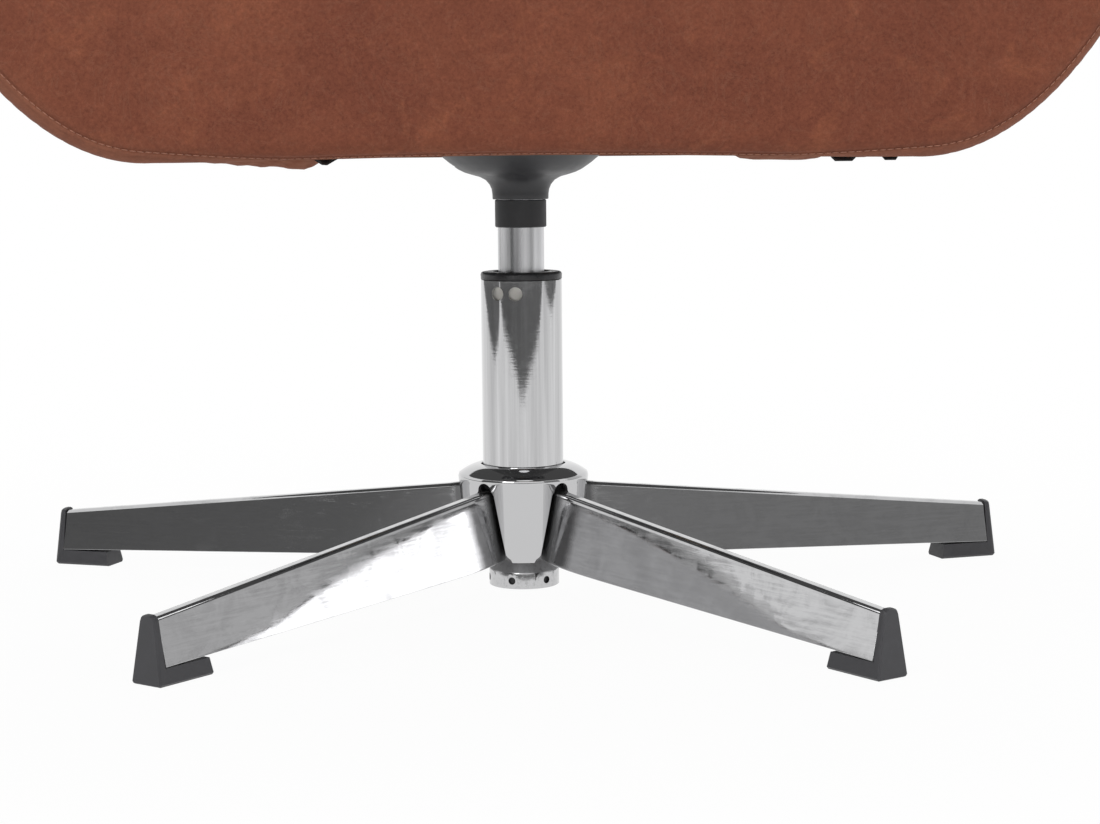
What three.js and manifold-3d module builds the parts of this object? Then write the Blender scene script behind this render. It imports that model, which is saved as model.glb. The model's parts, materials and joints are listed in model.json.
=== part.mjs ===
// A swivel rocker: a leather lounge chair on a five-star chromed base. The seat turns on a gas
// column, rises and sinks with it, and rocks back on a sprung pivot under the seat.
// Millimetres. +Z is up, the floor is z = 0 and the column's axis is x = y = 0. The chair faces -Y,
// so +X is at the sitter's left hand.
import * as THREE from "three";
import { mergeVertices } from "three/addons/utils/BufferGeometryUtils.js";
import Module from "manifold-3d";

const wasm = await Module();
wasm.setup();

// Clearances
const seatGap = 0.3; // between two pieces that rest on each other
const softGap = 1; // between two upholstered pieces
const runningGap = 0.05; // radial, between a shaft and its bush
const overrun = 20; // how far a cutting tool reaches past what it cuts
const roundShare = 0.29; // a quarter round's middle point lies this share of the radius inside the corner
const leastLean = 0.5; // how far an inset point may run ahead at a sharp corner, as a least cosine

// Base star
const baseTurn = 1.65; // degrees that the star is turned under the seat
const legNames = ["rear", "left", "front_left", "front_right", "right"];
const legRootGap = 0.2; // from the hub's core to where a leg starts
const legReach = 320; // radius where the leg's sheet metal ends
const legTopRoot = 65.2;
const legTopEnd = 35.3;
const legUnderRoot = 19.1;
const legUnderEnd = 9.85;
const legUnderRise = 3.4; // the underside sweeps up this much more at the root
const legUnderSweep = 15;
const legTopWide = 9;
const legFootWide = 19.15;
const legRound = 3.2; // rounding along the top edge
const legWall = 1.8;
const legStationShares = [0, 0.06, 0.18, 0.45, 1];

// Foot caps
const footFloorProud = 5.65; // how far the cap's face stands out beyond the leg at the floor
const footTopProud = 3.8;
const footHigh = 36.7;
const footWide = 21.1;
const footTopWide = 10.6;
const footBlockLong = 33.2; // how far the block reaches back under the leg
const footBlockHigh = 9.4;
const footBlockSlope = 1.6;
const footEdge = 1.4; // small rounding where the cap meets the floor
const plugLong = 16;
const plugHigh = 28;

// Hub
const hubTopProud = 9.5; // how far the hub stands out around its core
const hubUnderProud = 4.5;
const rimOverSlot = 1.8;
const crownRise = 5.7;
const hubUnderRise = 1.5; // over the leg's underside
const hubWall = 2.5;
const hubRimRound = 1.6;
const hubNeckGap = 0.9;
const slotUnderHalf = 11.5;
const slotShoulderHalf = 6.5;
const slotShoulderDrop = 3.2; // under the leg's top
const slotArchHalf = 4.9;
const slotRise = 4.2; // over the leg's top
const slotFlare = 3.6; // the webs' lower corners are rounded off by this much
const coreWall = 5.7;
const coreDrop = 6.9; // under the hub's crown
const coreUnderRise = 4.9; // over the leg's underside

// Column
const tubeRadius = 25;
const tubeWall = 2;
const tubeShown = 115.2; // how much of the tube stands above the hub
const holeRadius = 4.3;
const holeDrop = 7.9; // under the tube's top
const holeBearings = [-37.4, -9.7]; // degrees from straight ahead
const capHigh = 6;
const capRound = 1.6;
const capLipWall = 8;
const capRecess = 1.2;
const bushLong = 42.1;
const shaftRadius = 14.2;
const cupInset = 1.2; // the cup is this much smaller than the tube's bore
const cupUnder = 1.7;
const cupStraight = 10.1;
const cupNeckInset = 4.2;
const cupNeckRise = 6.8;
const cupNeckLong = 6;
const cupWall = 2.2;
const cupInTube = 5.4;
const cupFloorThick = 3.6;
const cupHoleRadius = 2.3;
const cupHoleCount = 6;
const cupHoleBearing = -21.8; // degrees from straight ahead
const rodRadius = 5;
const rodProud = 9.1; // how far the rod reaches out of the tube
const washerRadius = 12.4;
const washerThick = 1.5;
const ballRadius = 1.6;
const ballCount = 8;
const cageThick = 1.4;
const bumperRadius = 12.6;
const bumperHigh = 14.4;
const clipRadius = 8.5;
const clipThick = 1.6;
const clipDrop = 0.3;
const pistonGap = 0.3;
const pistonHigh = 6;
const cylinderWall = 2;
const cylinderFloor = 8;
const shaftShown = 25.7; // between the tube's cap and the collar
const cylinderCrown = 16; // solid stretch above the bore
const crownGap = 6;

// Collar, dome cover and tilt housing
const collarWall = 1.3;
const collarHigh = 16.8;
const domeWall = 2.2;
const neckProud = 1.4;
const neckHigh = 4.7;
const flareProud = 12.6;
const flareRise = 4.8;
const bowlProud = 8;
const bowlRise = 3.4;
const rimProud = 22.7;
const rimRise = 19.8;
const flareBendRise = 5.4; // from the neck to where its curve is tightest
const domeSlotDrop = 7.4; // under the lever
const domeSlotClear = 3; // at each side of the lever
const socketDeep = 21.1; // how far the cylinder reaches into the housing
const socketWall = 1.6;
const blockHalfX = 33.5;
const blockHalfY = 14;
const blockGap = 1.4; // from the cylinder's end to the block
const blockRise = 6; // over the pivot
const leverSlotClear = 1; // at each side of the lever
const leverSlotDrop = 2; // under the lever
const leverSlotRise = 4.6; // over the lever, which rises in it
const leverSlotInner = 13;
const shelfSide = 2.8; // beyond the springs
const shelfBehind = 10;
const shelfThick = 4.4;
const springRoom = 17; // from the shelf to the seat plate
const pivotRise = 9; // over the lever's slot
const pinRadius = 6;
const pinHeadRadius = 8.6;
const pinHeadThick = 3;
const bushWall = 2;
const springX = 13;
const springY = 32;
const springRadius = 6.2;
const springWire = 1.9;
const springTurns = 3.5;

// Release lever and valve
const buttonRadius = 4;
const buttonSink = 9;
const buttonProud = 6.1;
const buttonTravel = 2;
const leverHalfWide = 4;
const leverThick = 3;
const leverPinX = -24;
const leverPinRadius = 2;
const leverTip = 2;
const leverCrankInside = 8.5; // the crank starts this far inside the dome's rim
const leverCrankOutside = 15.5;
const leverCrankRise = 5.5;
const leverEyeRadius = 3.4;
const paddleClear = 4.2; // from the paddle's end to the side rail
const paddleLong = 44;
const paddleSocket = 22; // how far the lever reaches into the paddle
const paddleHalfWide = 17;
const paddleThick = 6;

// Seat plate and its bolts
const plateHalfX = 98;
const plateHalfY = 78;
const plateThick = 3;
const plateRise = 12; // over the pivot
const plateCorner = 14;
const earGap = 2.5; // from the block to an ear
const earThick = 4;
const earRadius = 10.4;
const earHalf = 12;
const boltInset = 22;
const boltRadius = 4;
const boltHeadRadius = 6.5;
const boltHeadThick = 5.3;
const boltProud = 6;

// Seat frame
const railThick = 28;
const railDrop = 21; // under the seat plate
const railHigh = 74;
const frameProud = 30.2; // how far the frame stands out beyond the flat bottom at each side
const boardThick = 15;
const deckThick = 2.2;

// Upholstered body: the front outline is a flat bottom with a quarter of an ellipse at each side
const seatDrop = 9.5; // how far the leather hangs under the rails
const flatHalf = 174;
const cornerWide = 156;
const cornerHigh = 370;
const apronHigh = 86;
const armThick = 77;
const armRound = 36;
const armHighFront = 321.5; // over the seat's bottom
const armHighRear = 351.5;
const frontFace = -385;
const panelThick = 22.4;
const panelRound = 9;
const armRearRound = 12;
const armHem = 14; // how far the arm's inner side stands out from its edge at the deck
const armStationShares = [0, 0.3, 0.55, 0.78, 0.93];
const backHigh = 733.5;
const backRearFoot = 264;
const backLean = 124.2; // how far the back's top lies behind its foot
const backCurveShare = 0.38; // share of the lean that the curve takes up early
const backThick = 72;
const backTopThick = 46;
const backBow = 16; // the back's sides come forward by this much
const backTopHalf = 246;
const backWideHalf = 262;
const backWideRise = 493.5;
const backTopCorner = 120;
const backRimRound = 26;
const backPower = 5;
const backRimCloseShare = 0.96; // how far the top rim closes
const backFootCloseShare = 0.7;
const backRingShares = [0.5, 0.75, 0.6]; // where the back's closer rings start

// Cushions
const seatCushionInset = 5; // behind the front panel's face
const seatCushionHigh = 92;
const seatCushionCrown = 14;
const seatCushionRound = 26;
const seatCushionPower = 7;
const seatCrownShares = [0.8, 0.62, 0.42, 0.2];
const drawnInShare = 0.012;
const backCushionLift = 1.8; // over the seat cushion
const backCushionDrop = 28; // under the back's top
const backCushionThick = 104;
const backCushionInset = 22; // inside the back's widest half
const backCushionPower = 4;
const backCushionSideGap = 3.6;
const backCushionEndPower = 12;
const backCushionEndShare = 0.22; // least thickness at the ends
const backCushionNarrowShare = 0.14; // how much narrower the ends are
const channelPower = 0.5;
const channelDeepShare = 0.16;
const channelCount = 3;
const cushionGap = 1.2;

// Frames inside the upholstery
const postThick = 22;
const postWide = 22;
const postBehindFront = 55;
const postBeforeRear = 124;
const postDrop = 40; // under the arm's top
const armRailHigh = 20;
const armRailHalf = 15;
const armRailBehindFront = 39;
const armRailBeforeRear = 48;
const backFrameThick = 18;
const backFrameInset = 18.2; // inside the seat frame's half width
const backFrameRise = 15.5; // over the seat's bottom
const backFrameDrop = 75; // under the back's top
const backFrameBorder = 48;
const backFrameMiddleRise = 373.5;

// Black cloth over the wood inside the recess
const clothThick = 1.2;
const clothOpenGap = 6; // from the seat plate to the cloth around it

// How finely round things are divided
const roundSteps = 30;
const smallSteps = 18;
const arcSteps = 7;
const planSteps = 32;
const pinSteps = 12;
const springSteps = 8;
const springSides = 5;
const ballSteps = 6;
const ballRows = 4;
const cornerSteps = 4;
const archSteps = 5;
const armTopSteps = 8;
const edgeSteps = 5;
const backCushionRows = 25;
const mergeReach = 0.0001;

// Sizes that follow from the ones above, from the floor up
const tubeBore = tubeRadius - tubeWall;
const coreInner = tubeRadius + seatGap;
const coreOuter = coreInner + coreWall;
const legRoot = coreOuter + legRootGap;
const hubTopRadius = coreOuter + hubTopProud;
const hubUnderRadius = coreOuter + hubUnderProud;
const hubUnder = legUnderRoot + hubUnderRise;
const coreUnder = legUnderRoot + coreUnderRise;
const slotShoulder = legTopRoot - slotShoulderDrop;
const slotTop = legTopRoot + slotRise;
const hubRim = slotTop + rimOverSlot;
const hubCrown = hubRim + crownRise;
const coreTop = hubCrown - coreDrop;
const cupRadius = tubeBore - cupInset;
const cupNeckRadius = cupRadius - cupNeckInset;
const cupShoulder = cupUnder + cupStraight;
const cupNeck = cupShoulder + cupNeckRise;
const tubeUnder = cupNeck + cupNeckLong;
const cupTop = tubeUnder + cupInTube;
const rodUnder = tubeUnder - rodProud;
const cylinderUnder = cupTop + 2 * seatGap + 2 * washerThick + 2 * ballRadius + bumperHigh;
const tubeTop = hubCrown + tubeShown;
const holeHeight = tubeTop - holeDrop;
const bushUnder = tubeTop - bushLong;
const cylinderBore = shaftRadius - cylinderWall;
const pistonRadius = cylinderBore - pistonGap;
const collarRadius = shaftRadius + seatGap + collarWall;
const collarUnder = tubeTop + seatGap + capHigh + shaftShown;
const collarTop = collarUnder + collarHigh;
const cylinderTop = collarTop + socketDeep;
const neckRadius = collarRadius + neckProud;
const neckTop = collarTop + neckHigh;
const flareBend = neckTop + flareBendRise;
const flareRadius = neckRadius + flareProud;
const flareHeight = flareBend + flareRise;
const bowlRadius = flareRadius + bowlProud;
const bowlHeight = flareHeight + bowlRise;
const rimRadius = bowlRadius + rimProud;
const rimHeight = bowlHeight + rimRise;
const blockUnder = cylinderTop + blockGap;
const leverUnder = cylinderTop + buttonProud + seatGap;
const buttonDepth = buttonSink + buttonTravel + seatGap;
const leverSlotHalf = leverHalfWide + leverSlotClear;
const leverSlotUnder = leverUnder - leverSlotDrop;
const leverSlotTop = leverUnder + leverThick + leverSlotRise;
const domeSlotHalf = leverHalfWide + domeSlotClear;
const domeSlotUnder = leverUnder - domeSlotDrop;
const pivotHeight = leverSlotTop + pivotRise;
const blockTop = pivotHeight + blockRise;
const plateUnder = pivotHeight + plateRise;
const shelfHalfX = springX + springRadius + shelfSide;
const shelfReach = springY + shelfBehind;
const shelfTop = plateUnder - springRoom;
const shelfUnder = shelfTop - shelfThick;
const earX = blockHalfX + earGap;
const boltX = plateHalfX - boltInset;
const boltY = plateHalfY - boltInset;
const boardUnder = plateUnder + plateThick + seatGap;
const boardTop = boardUnder + boardThick;
const railUnder = plateUnder - railDrop;
const railTop = railUnder + railHigh;
const deckUnder = railTop + seatGap;
const cushionUnder = deckUnder + deckThick + seatGap;
const frameHalfX = flatHalf + frameProud;
const leverCrankStart = -(rimRadius - leverCrankInside);
const leverCrankEnd = -(rimRadius + leverCrankOutside);
const paddleEnd = -(frameHalfX - railThick - paddleClear);
const paddleInner = paddleEnd + paddleLong;
const leverEnd = paddleEnd + paddleSocket;
const clothOpening = plateHalfX + clothOpenGap;
const seatBottom = railUnder - seatDrop;
const cornerCentre = seatBottom + cornerHigh;
const apronTop = seatBottom + apronHigh;
const armTopFront = seatBottom + armHighFront;
const armTopRear = seatBottom + armHighRear;
const backTop = seatBottom + backHigh;
const backWideAt = seatBottom + backWideRise;
const panelBack = frontFace + panelThick;
const frameFront = panelBack + seatGap;
const armInnerEdge = frameHalfX + seatGap;
const innerHigh = cornerHigh - apronHigh;
const innerWide = cornerWide - armThick;
const hemShare = (armInnerEdge + armHem - flatHalf) / innerWide;
const hemHeight = cornerCentre - innerHigh * Math.sqrt(1 - hemShare ** 2);
const edgeBow = backBow * (armInnerEdge / backWideHalf) ** 2;
const frameRear = backRearFoot - backThick - edgeBow - seatGap;
const seatCushionFront = frontFace + seatCushionInset;
const backCushionUnder = cushionUnder + seatCushionHigh + backCushionLift;
const backCushionTop = backTop - backCushionDrop;
const backCushionHalf = backWideHalf - backCushionInset;
const postFrontY = frontFace + postBehindFront;
const postRearY = backRearFoot - postBeforeRear;
const postTop = armTopFront - postDrop;
const armRailFront = frontFace + armRailBehindFront;
const armRailRear = backRearFoot - armRailBeforeRear;
const backFrameHalf = frameHalfX - backFrameInset;
const backFrameUnder = seatBottom + backFrameRise;
const backFrameTop = backTop - backFrameDrop;
const backFrameMiddle = seatBottom + backFrameMiddleRise;

const materials = {
  chrome: new THREE.MeshStandardMaterial({ color: 0xd2d2d4, roughness: 0.08, metalness: 1 }),
  steel: new THREE.MeshStandardMaterial({ color: 0x9a9a9c, roughness: 0.35, metalness: 1 }),
  cover: new THREE.MeshStandardMaterial({ color: 0x3b3b3d, roughness: 0.5, metalness: 0 }),
  foot: new THREE.MeshStandardMaterial({ color: 0x353437, roughness: 0.6, metalness: 0 }),
  nylon: new THREE.MeshStandardMaterial({ color: 0xdedcd6, roughness: 0.5, metalness: 0 }),
  rubber: new THREE.MeshStandardMaterial({ color: 0x1c1c1c, roughness: 0.8, metalness: 0 }),
  leather: new THREE.MeshStandardMaterial({ color: 0x794738, roughness: 0.55, metalness: 0 }),
  wood: new THREE.MeshStandardMaterial({ color: 0xc6a578, roughness: 0.7, metalness: 0 }),
  cloth: new THREE.MeshStandardMaterial({ color: 0x1d1d1f, roughness: 0.95, metalness: 0 }),
};

const chair = new THREE.Group();

function add(name, geometry, material, parent = chair) {
  const mesh = new THREE.Mesh(facingOut(geometry), material);
  mesh.name = name;
  parent.add(mesh);
  return mesh;
}

// Geometry helpers
function plain(geometry) {
  const bare = geometry.clone();
  bare.deleteAttribute("normal");
  bare.deleteAttribute("uv");
  return mergeVertices(bare, mergeReach);
}

function signedVolume(geometry) {
  const place = geometry.attributes.position;
  const [a, b, c] = [new THREE.Vector3(), new THREE.Vector3(), new THREE.Vector3()];
  let sum = 0;
  for (let i = 0; i < geometry.index.count; i += 3) {
    a.fromBufferAttribute(place, geometry.index.getX(i));
    b.fromBufferAttribute(place, geometry.index.getX(i + 1));
    c.fromBufferAttribute(place, geometry.index.getX(i + 2));
    sum += a.dot(b.cross(c));
  }
  return sum;
}

function facingOut(geometry) {
  const merged = plain(geometry);
  const kept = [];
  const index = merged.index.array;
  for (let i = 0; i < index.length; i += 3) {
    const [a, b, c] = [index[i], index[i + 1], index[i + 2]];
    if (a !== b && b !== c && a !== c) kept.push(a, b, c);
  }
  merged.setIndex(kept);
  if (signedVolume(merged) > 0) return merged;
  for (let i = 0; i < kept.length; i += 3) [kept[i], kept[i + 1]] = [kept[i + 1], kept[i]];
  merged.setIndex(kept);
  return merged;
}

function toSolid(geometry) {
  const closed = facingOut(geometry);
  const vertProperties = Float32Array.from(closed.attributes.position.array);
  const triVerts = Uint32Array.from(closed.index.array);
  return new wasm.Manifold(new wasm.Mesh({ numProp: 3, vertProperties, triVerts }));
}

function toGeometry(solid) {
  const mesh = solid.getMesh();
  const geometry = new THREE.BufferGeometry();
  geometry.setAttribute("position", new THREE.BufferAttribute(mesh.vertProperties, 3));
  geometry.setIndex(Array.from(mesh.triVerts));
  return geometry;
}

function joined(first, ...others) {
  return toGeometry(others.reduce((sum, piece) => sum.add(toSolid(piece)), toSolid(first)));
}

function cut(body, ...tools) {
  return toGeometry(tools.reduce((left, tool) => left.subtract(toSolid(tool)), toSolid(body)));
}

// A box given by its lowest and highest corner
function box(low, high) {
  const size = high.map((value, i) => value - low[i]);
  const middle = high.map((value, i) => (value + low[i]) / 2);
  return new THREE.BoxGeometry(...size).translate(...middle);
}

// A profile of [radius, height] pairs turned about the Z axis
function turned(profile, steps = roundSteps) {
  const points = profile.map(([radius, height]) => new THREE.Vector2(radius, height));
  return new THREE.LatheGeometry(points, steps).rotateX(Math.PI / 2);
}

function ring(inner, outer, under, top, steps = roundSteps) {
  return turned([[inner, under], [outer, under], [outer, top], [inner, top], [inner, under]], steps);
}

function rod(radius, under, top, steps = roundSteps) {
  return turned([[0, under], [radius, under], [radius, top], [0, top]], steps);
}

// A bore's corners lie outside its true radius, so that its flats clear a shaft of that radius
function boreRadius(radius, steps = roundSteps) {
  return radius / Math.cos(Math.PI / steps);
}

// Rings of the same number of points joined into one closed body. A section has a flat outline
// and a function that places each of its points in space.
function loft(sections) {
  const count = sections[0].outline.length;
  const places = sections.flatMap(({ outline, to }) => outline.flatMap((point) => to(point).toArray()));
  const faces = [];
  for (let row = 0; row < sections.length - 1; row += 1) {
    for (let i = 0; i < count; i += 1) {
      const next = (i + 1) % count;
      const [a, b] = [row * count + i, row * count + next];
      faces.push(a, b, b + count, a, b + count, a + count);
    }
  }
  const last = (sections.length - 1) * count;
  for (const [a, b, c] of THREE.ShapeUtils.triangulateShape(sections[0].outline, [])) faces.push(a, c, b);
  for (const [a, b, c] of THREE.ShapeUtils.triangulateShape(sections.at(-1).outline, [])) {
    faces.push(last + a, last + b, last + c);
  }
  const geometry = new THREE.BufferGeometry();
  geometry.setAttribute("position", new THREE.Float32BufferAttribute(places, 3));
  geometry.setIndex(faces);
  return geometry;
}

// An anticlockwise outline moved inwards
function inset(outline, distance) {
  return outline.map((point, i) => {
    const before = outline.at(i - 1);
    const after = outline[(i + 1) % outline.length];
    const first = point.clone().sub(before).normalize();
    const second = after.clone().sub(point).normalize();
    const inward = new THREE.Vector2(-first.y - second.y, first.x + second.x).normalize();
    const lean = inward.x * -first.y + inward.y * first.x;
    return point.clone().addScaledVector(inward, distance / Math.max(lean, leastLean));
  });
}

function arc(centreX, centreY, radiusX, radiusY, from, to, steps) {
  const points = [];
  for (let i = 0; i <= steps; i += 1) {
    const angle = from + ((to - from) * i) / steps;
    points.push(new THREE.Vector2(centreX + radiusX * Math.sin(angle), centreY - radiusY * Math.cos(angle)));
  }
  return points;
}

function mirrored(outline) {
  return outline.map((point) => new THREE.Vector2(-point.x, point.y)).reverse();
}

function toShape(outline) {
  return new THREE.Shape(outline);
}

// A flat outline drawn in (x, z), made thick along y
function upright(outline, front, rear) {
  const settings = { depth: rear - front, bevelEnabled: false };
  return new THREE.ExtrudeGeometry(toShape(outline), settings).rotateX(Math.PI / 2).translate(0, rear, 0);
}

// A flat outline drawn in (x, y), made thick along z
function flat(outline, under, top) {
  const settings = { depth: top - under, bevelEnabled: false };
  return new THREE.ExtrudeGeometry(toShape(outline), settings).translate(0, 0, under);
}

function roundedRectangle(halfX, halfY, corner, centreX = 0, centreY = 0) {
  const points = [];
  for (const [sx, sy, turn] of [[1, -1, 0], [1, 1, 1], [-1, 1, 2], [-1, -1, 3]]) {
    const [x, y] = [centreX + sx * (halfX - corner), centreY + sy * (halfY - corner)];
    const start = (turn * Math.PI) / 2;
    points.push(...arc(x, y, corner, corner, start, start + Math.PI / 2, cornerSteps));
  }
  return points;
}

// A square with swollen corners, drawn in between them by a share of its size
function squircle(halfX, halfY, centreY, power, drawnShare = 0) {
  const points = [];
  for (let i = 0; i < planSteps; i += 1) {
    const angle = (2 * Math.PI * i) / planSteps;
    const [across, along] = [Math.cos(angle), Math.sin(angle)];
    const pulled = 1 - drawnShare * Math.cos(2 * angle) ** 2;
    const x = Math.sign(across) * Math.abs(across) ** (2 / power) * halfX * pulled;
    const y = Math.sign(along) * Math.abs(along) ** (2 / power) * halfY * pulled;
    points.push(new THREE.Vector2(x, centreY + y));
  }
  return points;
}

function level(height) {
  return (point) => new THREE.Vector3(point.x, point.y, height);
}

// Legs: a folded channel, open underneath, that tapers from hub to foot
function legTopAt(radius) {
  return THREE.MathUtils.mapLinear(radius, legRoot, legReach, legTopRoot, legTopEnd);
}

function legUnderAt(radius) {
  const straight = THREE.MathUtils.mapLinear(radius, legRoot, legReach, legUnderRoot, legUnderEnd);
  return straight + legUnderRise * Math.exp((legRoot - radius) / legUnderSweep);
}

function legHalf(under, top, grow) {
  const round = legRound + grow;
  const shoulder = legTopWide / 2 + grow;
  return [
    new THREE.Vector2(legFootWide / 2 + grow, under),
    new THREE.Vector2(shoulder, top + grow - round),
    new THREE.Vector2(shoulder - round * roundShare, top + grow - round * roundShare),
    new THREE.Vector2(shoulder - round, top + grow),
  ];
}

function legOutline(radius) {
  const [under, top] = [legUnderAt(radius), legTopAt(radius)];
  const outside = legHalf(under, top, 0);
  const inside = legHalf(under, top, -legWall);
  return [...outside, ...mirrored(outside), ...mirrored(inside).reverse(), ...inside.reverse()];
}

function along(radius) {
  return (point) => new THREE.Vector3(point.x, radius, point.y);
}

function makeLeg() {
  const radii = legStationShares.map((share) => legRoot + share * (legReach - legRoot));
  return loft(radii.map((radius) => ({ outline: legOutline(radius), to: along(radius) })));
}

// Foot: an end plate shaped like the leg's end, a block under the leg and a plug inside it
function makeFoot() {
  const inner = legReach + seatGap;
  const plateHalf = [
    new THREE.Vector2(footWide / 2 - footEdge, 0),
    new THREE.Vector2(footWide / 2, footEdge),
    new THREE.Vector2(footTopWide / 2, footHigh - legRound),
    new THREE.Vector2(footTopWide / 2 - legRound * roundShare, footHigh - legRound * roundShare),
    new THREE.Vector2(footTopWide / 2 - legRound, footHigh),
  ];
  const plate = [...plateHalf, ...mirrored(plateHalf)];
  const leaning = (shift) => (point) => {
    const proud = THREE.MathUtils.mapLinear(point.y, 0, footHigh, footFloorProud, footTopProud);
    return new THREE.Vector3(point.x, legReach + proud - shift, point.y);
  };
  const end = loft([
    { outline: plate, to: along(inner) },
    { outline: plate, to: leaning(footEdge) },
    { outline: inset(plate, footEdge / 2), to: leaning(0) },
  ]);
  const blockHalf = [
    new THREE.Vector2(footWide / 2 - footEdge, 0),
    new THREE.Vector2(footWide / 2, footEdge),
    new THREE.Vector2(footWide / 2 - footEdge, footBlockHigh),
  ];
  const blockOutline = [...blockHalf, ...mirrored(blockHalf)];
  const sloped = (point) => {
    const back = (footBlockSlope * point.y) / footBlockHigh;
    return new THREE.Vector3(point.x, legReach - footBlockLong + back, point.y);
  };
  const block = loft([
    { outline: blockOutline, to: sloped },
    { outline: blockOutline, to: along(inner + footEdge) },
  ]);
  const plugRise = footBlockHigh - footEdge;
  const plugFoot = legFootWide / 2 - legWall - softGap;
  const plugTop = legTopWide / 2 - legWall - seatGap;
  const plugHalf = [new THREE.Vector2(plugFoot, plugRise), new THREE.Vector2(plugTop, plugHigh)];
  const plugOutline = [...plugHalf, ...mirrored(plugHalf)];
  const plug = loft([
    { outline: plugOutline, to: along(legReach - plugLong) },
    { outline: plugOutline, to: along(inner + footEdge) },
  ]);
  return joined(end, block, plug);
}

// Hub: a chromed bell over a steel core, with an arched slot for each leg
function slotTool() {
  const half = [
    new THREE.Vector2(slotUnderHalf + slotFlare, hubUnder - overrun),
    new THREE.Vector2(slotUnderHalf + slotFlare, hubUnder),
    new THREE.Vector2(slotUnderHalf, hubUnder + slotFlare),
    new THREE.Vector2(slotShoulderHalf, slotShoulder),
  ];
  const archCentre = slotTop - slotArchHalf;
  const arch = arc(0, archCentre, slotArchHalf, slotArchHalf, Math.PI / 2, Math.PI, archSteps);
  const right = [...half, ...arch.slice(0, -1)];
  const outline = [...right, new THREE.Vector2(0, slotTop), ...mirrored(right)];
  return loft([
    { outline, to: along(coreOuter - seatGap) },
    { outline, to: along(hubTopRadius + overrun) },
  ]);
}

function bearings() {
  return legNames.map((name, i) => -THREE.MathUtils.degToRad(baseTurn + (360 * i) / legNames.length));
}

function makeHubShell() {
  const neck = tubeRadius + hubNeckGap;
  const shell = turned([
    [neck, hubCrown - hubWall],
    [neck, hubCrown],
    [hubTopRadius - hubRimRound, hubRim],
    [hubTopRadius, hubRim - hubRimRound],
    [hubUnderRadius, hubUnder],
    [hubUnderRadius - hubWall, hubUnder],
    [hubTopRadius - hubWall, hubRim - hubWall],
    [neck, hubCrown - hubWall],
  ]);
  return cut(shell, ...bearings().map((angle) => slotTool().rotateZ(angle)));
}

function addBase() {
  add("hub_shell", makeHubShell(), materials.chrome);
  const core = ring(boreRadius(coreInner), coreOuter, coreUnder, coreTop);
  add("hub_core", core, materials.steel);
  bearings().forEach((angle, i) => {
    const arm = new THREE.Group();
    arm.rotation.z = angle;
    chair.add(arm);
    add(`leg_${legNames[i]}`, makeLeg(), materials.chrome, arm);
    add(`foot_${legNames[i]}`, makeFoot(), materials.foot, arm);
  });
}

// Column: the outer tube with its cap, bush and bottom cup
function sideways(tool, bearing, height) {
  return tool.rotateX(Math.PI / 2).rotateZ(THREE.MathUtils.degToRad(bearing)).translate(0, 0, height);
}

function makeTube() {
  const tube = ring(boreRadius(tubeBore), tubeRadius, tubeUnder, tubeTop);
  const drill = () => rod(holeRadius, 0, tubeRadius + overrun, smallSteps);
  return cut(tube, ...holeBearings.map((bearing) => sideways(drill(), bearing, holeHeight)));
}

function makeTopCap() {
  const under = tubeTop + seatGap;
  const top = under + capHigh;
  const bore = boreRadius(shaftRadius + seatGap);
  return turned([
    [bore, under],
    [tubeRadius, under],
    [tubeRadius, top - capRound],
    [tubeRadius - capRound * roundShare, top - capRound * roundShare],
    [tubeRadius - capRound, top],
    [tubeRadius - capLipWall, top],
    [tubeRadius - capLipWall, top - capRecess],
    [bore, top - capRecess],
    [bore, under],
  ]);
}

function makeBottomCup() {
  const floorUnder = cupTop - cupFloorThick;
  const collar = tubeBore - seatGap;
  const cup = turned([
    [rodRadius + seatGap, floorUnder],
    [cupNeckRadius - cupWall, floorUnder],
    [cupNeckRadius - cupWall, cupNeck],
    [cupRadius - cupWall, cupShoulder],
    [cupRadius - cupWall, cupUnder],
    [cupRadius, cupUnder],
    [cupRadius, cupShoulder],
    [cupNeckRadius, cupNeck],
    [cupNeckRadius, tubeUnder + seatGap],
    [collar, tubeUnder + seatGap],
    [collar, cupTop],
    [rodRadius + seatGap, cupTop],
    [rodRadius + seatGap, floorUnder],
  ]);
  const height = (cupUnder + cupShoulder) / 2;
  const drills = Array.from({ length: cupHoleCount }, (_, i) => {
    const tool = rod(cupHoleRadius, cupNeckRadius - cupWall, cupRadius + overrun, pinSteps);
    return sideways(tool, cupHoleBearing + (360 * i) / cupHoleCount, height);
  });
  return cut(cup, ...drills);
}

function addColumn() {
  add("column_tube", makeTube(), materials.chrome);
  add("tube_top_cap", makeTopCap(), materials.cover);
  const bushBore = boreRadius(shaftRadius + runningGap);
  add("guide_bush", ring(bushBore, tubeBore - seatGap, bushUnder, tubeTop), materials.nylon);
  add("bottom_cup", makeBottomCup(), materials.chrome);
}

// Thrust bearing, piston rod and rubber stop
function makeBallCage(middle) {
  const balls = Array.from({ length: ballCount }, (_, i) => {
    const angle = (2 * Math.PI * i) / ballCount;
    const track = (rodRadius + washerRadius) / 2;
    const ball = new THREE.SphereGeometry(ballRadius, ballSteps, ballRows);
    return ball.translate(track * Math.cos(angle), track * Math.sin(angle), middle);
  });
  const [under, top] = [middle - cageThick / 2, middle + cageThick / 2];
  const cage = ring(rodRadius + 2 * seatGap, washerRadius, under, top, smallSteps);
  return joined(cage, ...balls);
}

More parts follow.
